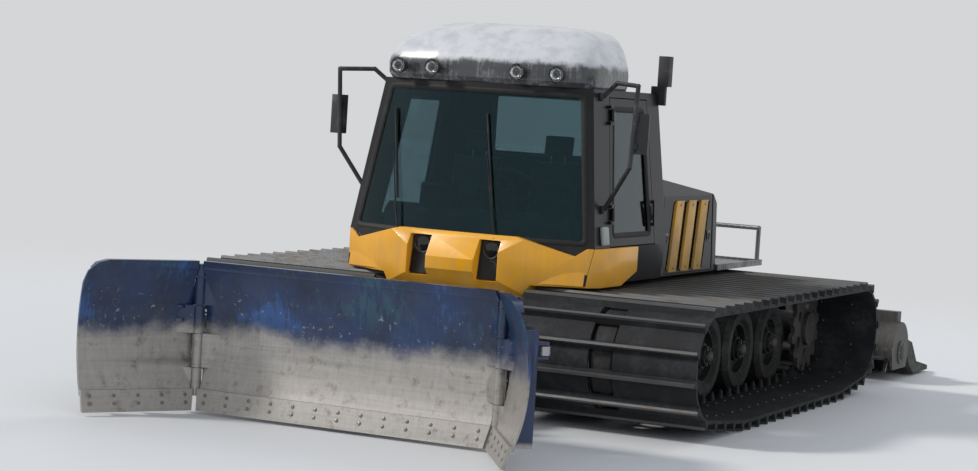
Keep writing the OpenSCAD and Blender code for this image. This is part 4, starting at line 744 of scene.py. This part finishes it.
# Nose: yellow skins over the front corners of the cab's floor
corners = Piece()
z = np.linspace(0.9985, 1.110, 6)
for side in (1, -1):
    rows = [
        sided(np.concatenate([shield(x, z, 0.0035)[0], shield(x, z[::-1], -0.010)[0]]), side)
        for x in np.linspace(0.50, 0.975, 24)
    ]
    corners.skin(rows)
corners.build("nose_corner_skins", YELLOW)

# Lamps: profiles give the height over the front and the share of the lamp's radius
BEZEL = [(-0.006, 0.96), (-0.006, 1.0), (0.012, 1.0), (0.015, 0.97), (0.013, 0.88), (0.003, 0.86)]
BOWL = [(-0.002, 0.80), (0.0115, 0.85), (0.0105, 0.80), (0.0045, 0.62), (0.0018, 0.42), (0.0012, 0.30)]
BULB = [(0.0005, 0.29), (0.0030, 0.27), (0.0060, 0.20), (0.0095, 0.13), (0.0100, 0.05)]
DOME = [(0.009, 0.86), (0.011, 0.87), (0.0135, 0.72), (0.016, 0.45), (0.017, 0.12)]
bezels, bowls, bulbs, lenses, smoked = Piece(), Piece(), Piece(), Piece(), Piece()


def round_lamp(spot, radius, glass):
    """Turned bezel, polished bowl, bulb and domed lens that look forward."""
    for piece, profile, sides in ((bezels, BEZEL, 32), (bowls, BOWL, 32), (bulbs, BULB, 16), (glass, DOME, 32)):
        rim = 0.002 if piece is bezels else 0
        piece.turned(spot, (0, -1, 0), [(h, r * radius + (rim if r == 1 else 0)) for h, r in profile], sides)


for x, behind in WORK_LAMPS:
    for side in (1, -1):
        round_lamp(at(side * x, ROOF_FRONT + behind - 0.0903, CAB_TOP_Z + 0.092), 0.060, lenses)
RECESS_X, RECESS_Y = BEAK_HW + RECESS_W / 2, -NOSE_FRONT + RECESS_D
for side, hand in SIDES:
    for z in (1.070, 1.215):
        round_lamp(at(side * RECESS_X, RECESS_Y - 0.022, z), 0.066, smoked)
    back = at(side * RECESS_X, RECESS_Y + 0.001, 1.142)
    plate = Piece().slab(back, LEFTWARD, UPWARD, (0.087, 0.145), 0.020, 0.35, 0.4)
    plate.build(f"lamp_panel_{hand}", SATIN, slot="cab_black")

red, amber, clear = Piece(), Piece(), Piece()
for side in (1, -1):
    # Columns: piece, place, half width and height, thickness, corner and crown
    for lens, spot, halves, thick, corner, crown in (
        (clear, (0.865, -0.2585, 2.435), (0.048, 0.056), 0.014, 0.3, 0.006),
        (amber, (0.900, -0.2085, 2.560), (0.036, 0.029), 0.012, 0.35, 0.005),
        (red, (0.900, -0.2085, 2.630), (0.036, 0.029), 0.012, 0.35, 0.005),
        (red, (0.900, -0.2085, 2.700), (0.036, 0.029), 0.012, 0.35, 0.005),
        (red, (0.42, CHASSIS_REAR - 0.002, 0.905), (0.055, 0.020), 0.016, 0.5, 0.005),
        (amber, (0.42, CHASSIS_REAR - 0.002, 0.955), (0.055, 0.020), 0.016, 0.5, 0.005),
    ):
        lens.slab(at(*sided(spot, side)), (-1, 0, 0), UPWARD, halves, thick, corner, 0.5, crown)
bezels.build("lamp_bezels", SATIN)
for piece, name, finish in (
    (bowls, "lamp_bowls", MIRROR), (bulbs, "lamp_bulbs", SATIN), (lenses, "lamp_lenses", LENS),
    (smoked, "headlamp_lenses", SMOKED), (red, "tail_lenses", RED_LENS), (amber, "turn_lenses", AMBER_LENS),
    (clear, "rear_work_lenses", CLEAR_LENS),
):
    piece.build(name, finish, crease=60)

# Mirrors: the silvered pane in its recess and a joint on the tube
pane, joints = Piece(), Piece()
turn = math.radians(12)
mirror_u, mirror_v = np.array([math.cos(turn), math.sin(turn), 0]), np.array([-math.sin(turn), math.cos(turn), 0])
spot = at(side_x(1.960) + 0.330, -1.630, 2.140) + mirror_v * 0.0145
for side in (1, -1):
    pane.slab(sided(spot, side), sided(mirror_u, side) * -side, UPWARD, (0.050, 0.138), 0.0065, 0.5, 0.3, 0.0015)
    for z in (2.045, 2.255):
        joints.turned(at(side * 1.232, -1.662, z), UPWARD, mm((-24, 20), (-20, 24), (20, 24), (24, 20)), 20)
pane.build("mirror_panes", MIRROR, crease=50)
joints.build("mirror_joints", SATIN)

# Pale control boxes at the feet of the front pillars
boxes = Piece()
for side in (1, -1):
    spot = sided(cab_side(-1.615, 1.365, 0.0005)[0], side)
    rise = ((TOP_HW - BELT_HW) * side, 0, CAB_TOP_Z - BELT_Z)
    boxes.slab(spot, (0, side, 0), rise, (0.055, 0.070), 0.034, 0.25, 0.35)
boxes.build("pillar_boxes", BOX_GREY)

# Dashboard: screens on their stalks, switches, joystick with its boot, pedals
screen, glow, knobs, boot = Piece(), Piece(), Piece(), Piece()
back, rise = unit((0, 0.93, 0.36)), unit((0, -0.36, 0.93))
for x in (DRIVER_X, -0.33):
    centre = at(x, DASH_Y + 0.02, FLOOR_Z + 0.475)
    face = centre + rise * 0.06
    screen.slab(face - back * 0.03, LEFTWARD, rise, (0.135, 0.085), -0.040, 0.25, -0.3)
    glow.slab(face + back * 0.0098, LEFTWARD, rise, (0.115, 0.065), -0.0025, 0.1, -0.3)
    stalk = [centre - back * b + rise * r for b, r in ((0.02, -0.08), (0.03, -0.03), (0.025, 0.02))]
    screen.run(smooth_path(stalk), 0.016, 10)
console = at(DRIVER_X - 0.345, DASH_Y + 0.60, FLOOR_Z + 0.440)
for row in range(3):
    for column in range(4):
        place = console + (-0.033 + 0.022 * column, 0.06 + 0.035 * row, 0.001)
        knobs.slab(place, LEFTWARD, (0, 1, 0), (0.008, 0.012), 0.010, 0.3, 0.4)
stick, stick_way = console + (0, -0.12, 0.006), (0, 0.05, 1)
folds = mm((0, 40), (6, 42), (12, 32), (18, 34), (24, 24), (30, 26), (38, 14), (45, 10))
handle = mm((0, 8), (30, 8), (45, 20), (80, 24), (115, 23), (130, 18), (136, 8))
boot.turned(stick, stick_way, folds, 20)
knobs.turned(stick + (0, 0.002, 0.040), stick_way, handle, 20)
for x, tall in ((DRIVER_X + 0.11, 0.10), (DRIVER_X - 0.10, 0.085)):
    pedal = at(x, DASH_Y + 0.20, FLOOR_Z + 0.030 + tall / 2)
    knobs.slab(pedal, (-1, 0, 0), (0, -0.5, 0.87), (0.045, tall / 2), 0.014, 0.4, 0.4)
screen.build("dash_screens", SATIN)
glow.build("screen_panes", SCREEN)
knobs.build("console_switches", SATIN)
boot.build("stick_boot", SEAL_RUBBER)

# Steering wheel: moulded grip pads at the hand places and a soft boss cover
RIM_R = 0.190 - 0.016
post = unit(WHEEL_HIGH - WHEEL_LOW)
u, v = across(post)
hub = WHEEL_HIGH + (0, SHIFT, 0) + post * 0.008
grips = Piece()
for start in (0.25, 0.75):
    t = np.linspace(start - 0.11, start + 0.11, 18) * 2 * np.pi
    path = hub + post * 0.024 + (np.outer(np.cos(t), u) + np.outer(np.sin(t), v)) * RIM_R
    grips.run(path, 0.0162 + 0.0022 * np.sin(np.linspace(0, np.pi, 18)), 12)
grips.turned(hub + post * 0.032, post, mm((0, 36), (8, 38), (16, 32), (20, 18), (21, 4)), 24)
grips.build("steering_grips", TRIM, "steering_wheel")

# Hinges, latches and vents of the cab and the engine cover
MESH_DEPTH, MESH_STEP, WIRE_R = 0.028, 0.030, 0.0022
for side, hand in SIDES:
    outward = (side, 0, 0)
    caps = Piece()
    for z in (1.480, 2.220):
        spot = np.array([side_x(z) + 0.016, door_edge_y(z) + 0.016 + SHIFT, z])
        way = unit((side_x(z + 0.01) - side_x(z), door_edge_y(z + 0.01) - door_edge_y(z), 0.01))
        for end, sign in ((spot - way * 0.0205, -1), (spot + way * 0.113, 1)):
            caps.turned(sided(end, side), sided(way * sign, side), mm((-4, 10), (3, 10.5), (7, 8), (8, 3)), 16)
        caps.bolts([sided(spot + (-0.002, -0.030, dz), side) for dz in (-0.017, 0.105)], outward, 0.007, 0.006)
    caps.build(f"door_hinge_caps_{hand}", ZINC)

    latch = Piece()
    spot, up = (sided(value, side) for value in cab_side(-DOOR_REAR - 0.040, 1.52, 0.001))
    latch.slab(spot, (0, 1, 0), np.cross(up, (0, 1.0, 0)), (0.026, 0.060), 0.012, 0.6, 0.5)
    latch.turned(spot + up * 0.010 + (0, 0, -0.028), up, mm((0, 13), (8, 13), (10, 10), (9, 4)), 20)
    latch.build(f"door_latch_{hand}", SATIN, f"door_{hand}")

    # Wire mesh inside the louvre, on rods that follow the opening's lean
    mesh = Piece()
    z = np.linspace(LOUVRE_LOW - 0.01, LOUVRE_HIGH + 0.01, 8)
    x = (cover_side_x(z) - MESH_DEPTH) * side
    for y in np.arange(LOUVRE_Y0 - 0.01, LOUVRE_Y1 + 0.02, MESH_STEP):
        mesh.run(np.stack([x, y + louvre_lean(z) + SHIFT, z], 1), WIRE_R, 5)
    for z in np.arange(LOUVRE_LOW + 0.01, LOUVRE_HIGH, MESH_STEP):
        y = np.linspace(LOUVRE_Y0 - 0.01, LOUVRE_Y1 + 0.01, 4) + louvre_lean(z) + SHIFT
        x = (cover_side_x(z) - MESH_DEPTH - 0.004) * side
        mesh.run(np.stack([np.full(4, x), y, np.full(4, z)], 1), WIRE_R, 5)
    mesh.build(f"vent_mesh_{hand}", SATIN, f"flap_{hand}", slot="cab_black")

    # Flap latches: a dished plate with a folding ring pull
    pulls = Piece()
    for y in (-0.13, 0.86):
        spot = at((cover_side_x(1.30) + 0.0005) * side, y, 1.30)
        pulls.slab(spot, (0, side, 0), UPWARD, (0.034, 0.046), 0.006, 0.5, 0.5)
        pulls.run(ellipse(spot, 0.018, 0.026, 20, 0.010 * side), 0.0035, 8, ring=True)
    pulls.build(f"flap_latches_{hand}", ZINC, f"flap_{hand}")

    # Bolt heads down the slats' ends
    heads = Piece()
    for k in range(SLAT_COUNT):
        y = LOUVRE_Y0 + (k + 0.5) * (LOUVRE_Y1 - LOUVRE_Y0) / SLAT_COUNT
        for z in (LOUVRE_LOW + 0.022, LOUVRE_HIGH - 0.022):
            spot = at((cover_side_x(z) + 0.0118) * side, y + louvre_lean(z), z)
            heads.turned(spot, outward, mm((-2, 11), (3, 10), (6, 6), (6.6, 2)), 12)
    heads.build(f"slat_rivets_{hand}", ZINC, f"flap_{hand}")

# Running gear: hub caps with wheel nuts, guide horns and steel edges of the cross bars

IDLER = (-IDLER_Y, END_Z, END_R)
ROAD_WHEELS = [(ROAD_FIRST + k * ROAD_STEP, ROAD_Z, ROAD_R) for k in range(4)]
LOOP = [ROAD_WHEELS[0], (ROAD_FIRST + ROAD_SPAN, ROAD_Z, ROAD_R), (SPROCKET_Y, END_Z, END_R), IDLER]


def tangent_angle(first, second):
    """Angle that points out of the loop on the straight run from one wheel to the next."""
    dy, dz = second[0] - first[0], second[1] - first[1]
    return math.atan2(dz, dy) - math.pi / 2 + math.asin((first[2] - second[2]) / math.hypot(dy, dz))


def loop_runs(height):
    """The belt's loop at a height over the treads: arcs about the four wheels, each followed by a straight run."""
    runs = []
    for k, (y, z, r) in enumerate(LOOP):
        after = LOOP[(k + 1) % 4]
        into, out = tangent_angle(LOOP[k - 1], LOOP[k]), tangent_angle(LOOP[k], after)
        while out < into:
            out += 2 * math.pi
        normal = np.array([math.cos(out), math.sin(out)])
        start, end = (np.array(wheel[:2]) + (wheel[2] + height) * normal for wheel in (LOOP[k], after))
        runs.append(("arc", (y, z, r + height), into, (r + height) * (out - into)))
        runs.append(("run", start, end, float(np.linalg.norm(end - start)), out))
    return runs


def loop_length(height):
    return sum(run[3] for run in loop_runs(height))


def loop_places(height, distances):
    """Places at distances along the loop: y, z and the angle that points outwards."""
    places = []
    for s in distances:
        for run in loop_runs(height):
            length = run[3]
            if s <= length:
                if run[0] == "arc":
                    y, z, r = run[1]
                    angle = run[2] + s / r
                    places.append((y + r * math.cos(angle), z + r * math.sin(angle), angle))
                else:
                    places.append((*(run[1] + (run[2] - run[1]) * s / length), run[4]))
                break
            s -= length
    return places


TRACK_MID, TIP = TRACK_BETWEEN / 2 + TRACK_W / 2, LUG_H + BAR_SINK
BAR_EDGE = [
    (-0.0162, TIP - 0.017), (-0.0098, TIP + 0.0002), (0.0098, TIP + 0.0002), (0.0162, TIP - 0.017), (0, TIP - 0.020),
]
BAR_XS = [TRACK_BETWEEN / 2 + 0.004, TRACK_MID - 0.25, TRACK_MID + 0.25, TRACK_BETWEEN / 2 + TRACK_W - 0.004]
HORN_X, HORN_HW = 0.142, 0.018
# Columns: depth under the belt, share of the width, half length
HORN = ((-0.004, 1.15, 0.036), (0.012, 1.0, 0.032), (0.050, 0.75, 0.022), (0.068, 0.45, 0.012), (0.072, 0.25, 0.006))
HUB_CAP = mm((-4, 46), (4, 50), (22, 48), (34, 38), (40, 20), (41, 4))
bars = loop_places(BELT_T - BAR_SINK, (np.arange(LUG_COUNT) + 0.5) * loop_length(BELT_T) / LUG_COUNT)
for side, hand in SIDES:
    hubs, nuts = Piece(), Piece()
    for y, z, r in ROAD_WHEELS + [IDLER]:
        centre = at(side * (TRACK_MID + 0.110), y, z)
        hubs.turned(centre, (side, 0, 0), HUB_CAP, 24)
        nuts.bolts(ellipse(centre, 0.065, 0.065, 6), (side, 0, 0), 0.0105, 0.014)
    hubs.build(f"hub_caps_{hand}", BLACK)
    nuts.build(f"wheel_nuts_{hand}", ZINC)

    edges, blocks, heads = Piece(), Piece(), Piece()
    for y, z, angle in bars:
        out, ahead = np.array([0, math.cos(angle), math.sin(angle)]), np.array([0, -math.sin(angle), math.cos(angle)])
        edges.skin([at(x * side, y, z) + np.array([ahead * s + out * h for s, h in BAR_EDGE]) for x in BAR_XS])
        foot = at(side * TRACK_MID, y, z) - out * (BELT_T - BAR_SINK)
        for x in (-0.52, -0.25, 0.25, 0.52):
            spot = foot + (x, 0, 0) - out * 0.0005
            blocks.slab(spot, LEFTWARD, np.cross(out, LEFTWARD), (0.10, 0.024), 0.008, 0.4, 0.5, steps=2)
            heads.turned(spot - out * 0.008, -out, mm((-2, 10), (6, 10), (8, 7)), 6)
        for x in (-HORN_X, HORN_X):
            rows = []
            for depth, share, long in HORN:
                wide = HORN_HW * share
                ring = rounded_rectangle(wide, long, min(wide, long) * 0.6, 2)
                spot = foot + (x, 0, 0) - out * depth
                rows.append(spot + np.outer(ring[:, 0], LEFTWARD) + np.outer(ring[:, 1], ahead))
            blocks.skin(rows)
    edges.build(f"bar_edges_{hand}", BAR_STEEL)
    blocks.build(f"guide_horns_{hand}", TRACK)
    heads.build(f"bar_bolts_{hand}", ZINC)

# Pin caps with a keeper bolt: columns are the pin's end, the way it points and its radius
caps = Piece()
for spot, way, radius in (
    ((PUSH_X + PIN_END, -PUSH_Y, PUSH_Z), 1, 0.036),
    ((PUSH_X - PIN_END, -PUSH_Y, PUSH_Z), -1, 0.036),
    ((REAR_X + PIN_END, REAR_PIVOT_Y, REAR_PIVOT_Z), 1, 0.036),
    ((LIFT_X + 0.055, -PUSH_Y + 0.020, 0.700), 1, 0.026),
    ((LIFT_X + 0.055, CHASSIS_REAR + 0.065, 0.925), 1, 0.026),
):
    shape = ((-0.004, 1), (0.004, 1.05), (0.008, 0.95), (0.009, 0.55), (0.014, 0.5), (0.016, 0.3))
    for side in (1, -1):
        caps.turned(sided(at(*spot), side), (way * side, 0, 0), [(h, r * radius) for h, r in shape], 18)
caps.build("pin_caps_carrier", ZINC)

# Tiller: clamp strip and bolts that hold the mat, bearing housings on the end plates
clamp, clamp_bolts, housings = Piece(), Piece(), Piece()
MAT_FALL, MAT_RUN = 0.050, 0.230
mat_rise, mat_up = (0, MAT_RUN, -MAT_FALL), unit((0, MAT_FALL, MAT_RUN))
middle = at(0, MAT_Y + 0.045, ROTOR_Z + 0.110 - 0.105 * MAT_FALL / MAT_RUN)
clamp.slab(middle, LEFTWARD, mat_rise, (TILLER_HW - 0.025, 0.028), -0.008, 0.5, -0.5)
for x in np.linspace(-TILLER_HW + 0.10, TILLER_HW - 0.10, 21):
    clamp_bolts.turned(middle + (x, 0, 0) + mat_up * 0.008, mat_up, mm((-2, 12), (8, 12), (10, 10)), 6)
HOUSING = mm((-1, 105), (10, 105), (14, 98), (16, 66), (30, 58), (36, 45), (38, 12))
for side in (1, -1):
    hub = at(side * TILLER_HW, ROTOR_Y, ROTOR_Z)
    housings.turned(hub, (side, 0, 0), HOUSING, 32)
    clamp_bolts.bolts(ellipse(hub, 0.084, 0.084, 6, side * 0.013), (side, 0, 0), 0.010, 0.010)
clamp.build("mat_clamp", BLACK, "tiller")
housings.build("rotor_housings", BLACK, "tiller")
clamp_bolts.build("tiller_bolts", ZINC, "tiller")

# Cutting edge bolts on the blade and the wings
board_foot = at(0, -BLADE_Y - BOARD_SAG - EDGE_OUT, EDGE_Z)
face_rise, face_out = unit((0, 0.044, 0.150)), unit((0, -0.150, 0.044))


def edge_spots(low, high, count):
    """Two rows of places on the cutting edge between two widths."""
    xs = np.linspace(low, high, count)
    return np.array([board_foot + face_rise * row + (x, 0, 0) for row in (0.060, 0.115) for x in xs])


def folded(spots, side):
    """Points beside the straight blade, turned forward with the wing about its upright pin."""
    spots = sided(spots, side)
    c, s = math.cos(WING_FOLD), math.sin(WING_FOLD)
    along, back = spots[..., 0] - BLADE_HW, spots[..., 1] - (WING_PIN_Y + SHIFT)
    turned = [(BLADE_HW + along * c + back * s) * side, WING_PIN_Y + SHIFT - along * s + back * c, spots[..., 2]]
    return np.stack(turned, -1)


def plough_bolts(spots, axis, name, body):
    piece = Piece()
    for spot in spots:
        piece.turned(spot, axis, mm((-3, 14), (3, 13), (5.5, 9), (6, 3)), 12)
    piece.build(name, ZINC, body)


plough_bolts(edge_spots(-1.06, 1.06, 13), face_out, "edge_bolts_middle", "blade")
for side, hand in SIDES:
    spots = sided(edge_spots(BLADE_HW + 0.10, BLADE_HW + WING_L - 0.06, 5), side)
    pin = at(BLADE_HW * side, WING_PIN_Y, 0)
    out = folded(pin + face_out, side) - folded(pin, side)
    plough_bolts(folded(spots, side), out, f"edge_bolts_{hand}", f"wing_{hand}")

# Seats: sprung pedestal, shells, and padded cushions that swell between their seams


def leaning(local, lean, centre):
    """Points turned about X by the lean, then moved to the centre."""
    c, s = math.cos(lean), math.sin(lean)
    return local @ np.array([[1, 0, 0], [0, c, s], [0, -s, c]]) + centre


def cushion_form(halves, centre, lean, crown, pinch, channels):
    """Crowned lens of height (1 - u^6)^e (1 - v^6)^e, its sides pulled in by pinch between the corners."""
    hu, hv, hw = halves
    u, v = np.meshgrid(np.linspace(-1, 1, 44), np.linspace(-1, 1, 44), indexing="ij")
    edge = np.clip((1 - np.abs(u) ** 6) * (1 - np.abs(v) ** 6), 0, 1) ** 0.30
    top = edge * (1 + crown * (1 - u**2) * (1 - v**2))
    for channel in channels:
        top = top * (1 - 0.16 * np.exp(-(((v - channel) / 0.035) ** 2)))
    x, y = u * hu * (1 - pinch * (1 - v**2)), v * hv * (1 - pinch * (1 - u**2))
    return [leaning(np.stack([x, y, height * hw], -1), lean, centre) for height in (top, -edge)]


def seam_path(halves, centre, lean, pinch):
    """Piping where the two halves meet: u, v = sign(c) |c|^e of the cosine and sine, pulled in as the form is."""
    t = full_turn(96)
    u, v = (np.sign(wave) * np.abs(wave) ** 0.28 for wave in (np.cos(t), np.sin(t)))
    x, y = u * halves[0] * (1 - pinch * (1 - v**2)), v * halves[1] * (1 - pinch * (1 - u**2))
    return leaning(np.stack([x, y, 0 * t], -1), lean, centre)


def cushion(name, halves, centre, lean, crown, channels, pinch=0.035, swell=0.012):
    """A padded piece: the crowned form, remeshed, blown up a little as cloth, and smoothed."""
    upper, lower = cushion_form(halves, centre, lean, crown, pinch, channels)
    n = upper.shape[0]
    index = np.arange(n * n).reshape(n, n)
    quads = np.stack([index[:-1, :-1], index[1:, :-1], index[1:, 1:], index[:-1, 1:]], -1).reshape(-1, 4)
    points = np.concatenate([upper.reshape(-1, 3), lower.reshape(-1, 3)])
    thing = mesh_object(name, points, np.concatenate([quads, quads[:, ::-1] + n * n]).tolist(), SEAT_CLOTH)
    work = bmesh.new()
    work.from_mesh(thing.data)
    bmesh.ops.remove_doubles(work, verts=work.verts, dist=0.0015)
    bmesh.ops.recalc_face_normals(work, faces=work.faces)
    work.to_mesh(thing.data)
    work.free()
    swell_as_cloth(thing, swell)
    relax = thing.modifiers.new("smooth", "SUBSURF")
    relax.levels = relax.render_levels = 1
    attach(thing, "carrier")
    return thing


CLOTH_FRAMES, CLOTH_PRESSURE, CLOTH_VOXEL = 20, 4.0, 0.006


def swell_as_cloth(thing, most):
    """Remesh, Cloth with inner pressure for 20 frames, each point's travel capped, then applied."""
    scene = bpy.context.scene
    bpy.context.view_layer.objects.active = thing
    remesh = thing.modifiers.new("remesh", "REMESH")
    remesh.mode, remesh.voxel_size = "VOXEL", CLOTH_VOXEL
    start = applied_points(thing)
    cloth = thing.modifiers.new("cloth", "CLOTH")
    cloth.settings.use_pressure, cloth.settings.uniform_pressure_force = True, CLOTH_PRESSURE
    cloth.settings.effector_weights.gravity = 0.0
    cloth.settings.quality = 4
    cloth.point_cache.frame_start, cloth.point_cache.frame_end = 1, CLOTH_FRAMES
    for step in range(1, CLOTH_FRAMES + 1):
        scene.frame_set(step)
    travel = applied_points(thing) - start
    far = np.linalg.norm(travel, axis=1, keepdims=True)
    travel *= np.minimum(1, most / np.maximum(far, 1e-9))
    thing.data.vertices.foreach_set("co", (start + travel).ravel())
    thing.data.shade_smooth()
    thing.data.update()
    scene.frame_set(1)


def applied_points(thing):
    """Keeps what the modifiers make as the mesh itself, and gives its points."""
    view = bpy.context.evaluated_depsgraph_get()
    made = bpy.data.meshes.new_from_object(thing.evaluated_get(view), depsgraph=view)
    thing.modifiers.clear()
    made.name = thing.name
    thing.data = made
    points = np.empty(len(made.vertices) * 3)
    made.vertices.foreach_get("co", points)
    return points.reshape(-1, 3)


piping, shells, rods = Piece(), Piece(), Piece()
back_up = unit((0, math.sin(SEAT_LEAN), math.cos(SEAT_LEAN)))
for seat, x in (("driver", DRIVER_X), ("passenger", PASSENGER_X)):
    base = at(x, -0.825, FLOOR_Z)
    # Pedestal: folded bellows between a foot plate and the pan
    rows = []
    for k, rise in enumerate(np.linspace(0.012, 0.165, 15)):
        wide = 0.135 + (0.012 if k % 2 else 0.0)
        ring = rounded_rectangle(wide, wide * 0.82, 0.05, 5)
        rows.append(base + np.column_stack([ring, np.full(len(ring), rise)]))
    shells.skin(rows)
    shells.slab(base + (0, 0, 0.001), LEFTWARD, (0, 1, 0), (0.150, 0.125), 0.012, 0.3, 0.4)
    shells.slab(base + (0, -0.02, 0.163), LEFTWARD, (0, 1, 0), (0.205, 0.225), 0.028, 0.3, 0.5)
    # Columns: piece, half sizes, lengthwise place, height, lean, crown, sewn channels
    for part, halves, y, z, lean, crown, channels in (
        ("cushion", (0.222, 0.225, 0.056), -0.860, 0.262, 0.045, 0.30, (-0.35, 0.35)),
        ("back", (0.218, 0.270, 0.046), -0.612, 0.560, math.pi / 2 - SEAT_LEAN, 0.30, (-0.45, 0.05, 0.5)),
        ("headrest", (0.122, 0.080, 0.036), -0.535, 0.935, math.pi / 2 - SEAT_LEAN, 0.25, ()),
    ):
        centre = at(x, y, FLOOR_Z + z)
        thing = cushion(f"{seat}_{part}", halves, centre, lean, crown, channels)
        if part == "cushion":
            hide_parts("seats")
        piping.run(seam_path(halves, centre, lean, 0.035), 0.0045, 6, ring=True)
    shells.slab(at(x, -0.572, FLOOR_Z + 0.545), (-1, 0, 0), back_up, (0.205, 0.262), 0.020, 0.35, 0.6)
    for dx in (-0.060, 0.060):
        rod = [at(x + dx, y, FLOOR_Z + z) for y, z in ((-0.552, 0.760), (-0.545, 0.840), (-0.534, 0.915))]
        rods.run(smooth_path(rod), 0.007, 10)
piping.build("seat_piping", TRIM, slot="seat_fabric")
shells.build("seat_shells", TRIM)
rods.build("headrest_rods", CHROME)

# Stage


def fading_floor(name, colour, backdrop):
    """Pale floor that turns into the backdrop's own tone far from the machine, for the camera alone."""
    f = Finish(name)
    pale = f.mix(f.noise(0.6, 3) * 0.06, colour, shaded(colour, 0.95))
    f.set(Base_Color=pale, Roughness=f.noise(3, 3) * 0.08 + 0.6)
    tone, mix = f.make("ShaderNodeEmission"), f.make("ShaderNodeMixShader")
    f.feed(tone.inputs[0], backdrop)
    ray = Value(f, f.make("ShaderNodeLightPath").outputs["Is Camera Ray"])
    far = (f.x * f.x + f.y * f.y).power(0.5).ramp(7.0, 15.0)
    f.feed(mix.inputs[0], ray * far)
    for source, slot in ((f.shader, mix.inputs[1]), (tone, mix.inputs[2]), (mix, f.output.inputs[0])):
        f.tree.links.new(source.outputs[0], slot)
    return f.material


BACKDROP, SKY, FLOOR_HW = (0.66, 0.67, 0.68), (0.44, 0.475, 0.53), 90
floor_corners = [(FLOOR_HW * x, FLOOR_HW * y, 0) for x, y in ((-1, -1), (1, -1), (1, 1), (-1, 1))]
floor_finish = fading_floor("floor_pale", (0.70, 0.705, 0.71), BACKDROP)
mesh_object("studio_floor", floor_corners, [(0, 1, 2, 3)], floor_finish)

# World: the backdrop's tone to the camera and in glass and metal, a bluer sky as light
world = bpy.data.worlds.new("studio")
bpy.context.scene.world = world
world.use_nodes = True
sky = world.node_tree
sky.nodes.clear()
ray, seen, light, tone = (
    sky.nodes.new(f"ShaderNode{kind}") for kind in ("LightPath", "Background", "OutputWorld", "Mix")
)
tone.data_type = "RGBA"
tone.inputs[6].default_value, tone.inputs[7].default_value = (*SKY, 1), (*BACKDROP, 1)
shown = ray.outputs["Is Camera Ray"]
for kind in ("Is Glossy Ray", "Is Transmission Ray"):
    either = sky.nodes.new("ShaderNodeMath")
    either.operation = "MAXIMUM"
    sky.links.new(shown, either.inputs[0])
    sky.links.new(ray.outputs[kind], either.inputs[1])
    shown = either.outputs[0]
for source, slot in ((shown, tone.inputs[0]), (tone.outputs[2], seen.inputs[0]), (seen.outputs[0], light.inputs[0])):
    sky.links.new(source, slot)


def lamp(name, source, strength, spread, colour=(1, 1, 1), shines=True):
    """Distant light that falls from the direction of source, with an even level over the whole floor."""
    data = bpy.data.lights.new(name, "SUN")
    data.energy, data.angle, data.color = strength, math.radians(spread), colour
    thing = bpy.data.objects.new(name, data)
    thing.location = source
    thing.rotation_euler = (-Vector(source)).to_track_quat("-Z", "Y").to_euler()
    thing.visible_glossy = shines
    bpy.context.scene.collection.objects.link(thing)


lamp("key", (-12.0, -7.5, 10.5), 2.1, 9, (1.0, 0.97, 0.93))
lamp("fill", (11, -9, 5), 0.55, 40, (0.94, 0.97, 1.0), shines=False)
lamp("rim", (2, 12, 8), 0.55, 30, shines=False)

# Camera: the photograph's direction, distance and tilt, with a longer lens that fills the frame
CAMERA_YAW, CAMERA_PITCH, CAMERA_ROLL = (math.radians(angle) for angle in (-24.84, -3.39, 3.6))
FOCAL_PX, PICTURE_PX, SENSOR_MM = 2350, 978, 36
camera = bpy.data.objects.new("camera", bpy.data.cameras.new("camera"))
bpy.context.scene.collection.objects.link(camera)
bpy.context.scene.camera = camera
camera.location = (7.55, -17.65, 2.35)
flat = math.cos(CAMERA_PITCH)
ahead = Vector((math.sin(CAMERA_YAW) * flat, math.cos(CAMERA_YAW) * flat, math.sin(CAMERA_PITCH)))
camera.rotation_euler = (ahead.to_track_quat("-Z", "Y").to_matrix() @ Matrix.Rotation(CAMERA_ROLL, 3, "Z")).to_euler()
camera.data.sensor_width, camera.data.lens = SENSOR_MM, SENSOR_MM * FOCAL_PX / PICTURE_PX
camera.data.clip_end = 200
bpy.context.scene.view_settings.view_transform = "Standard"
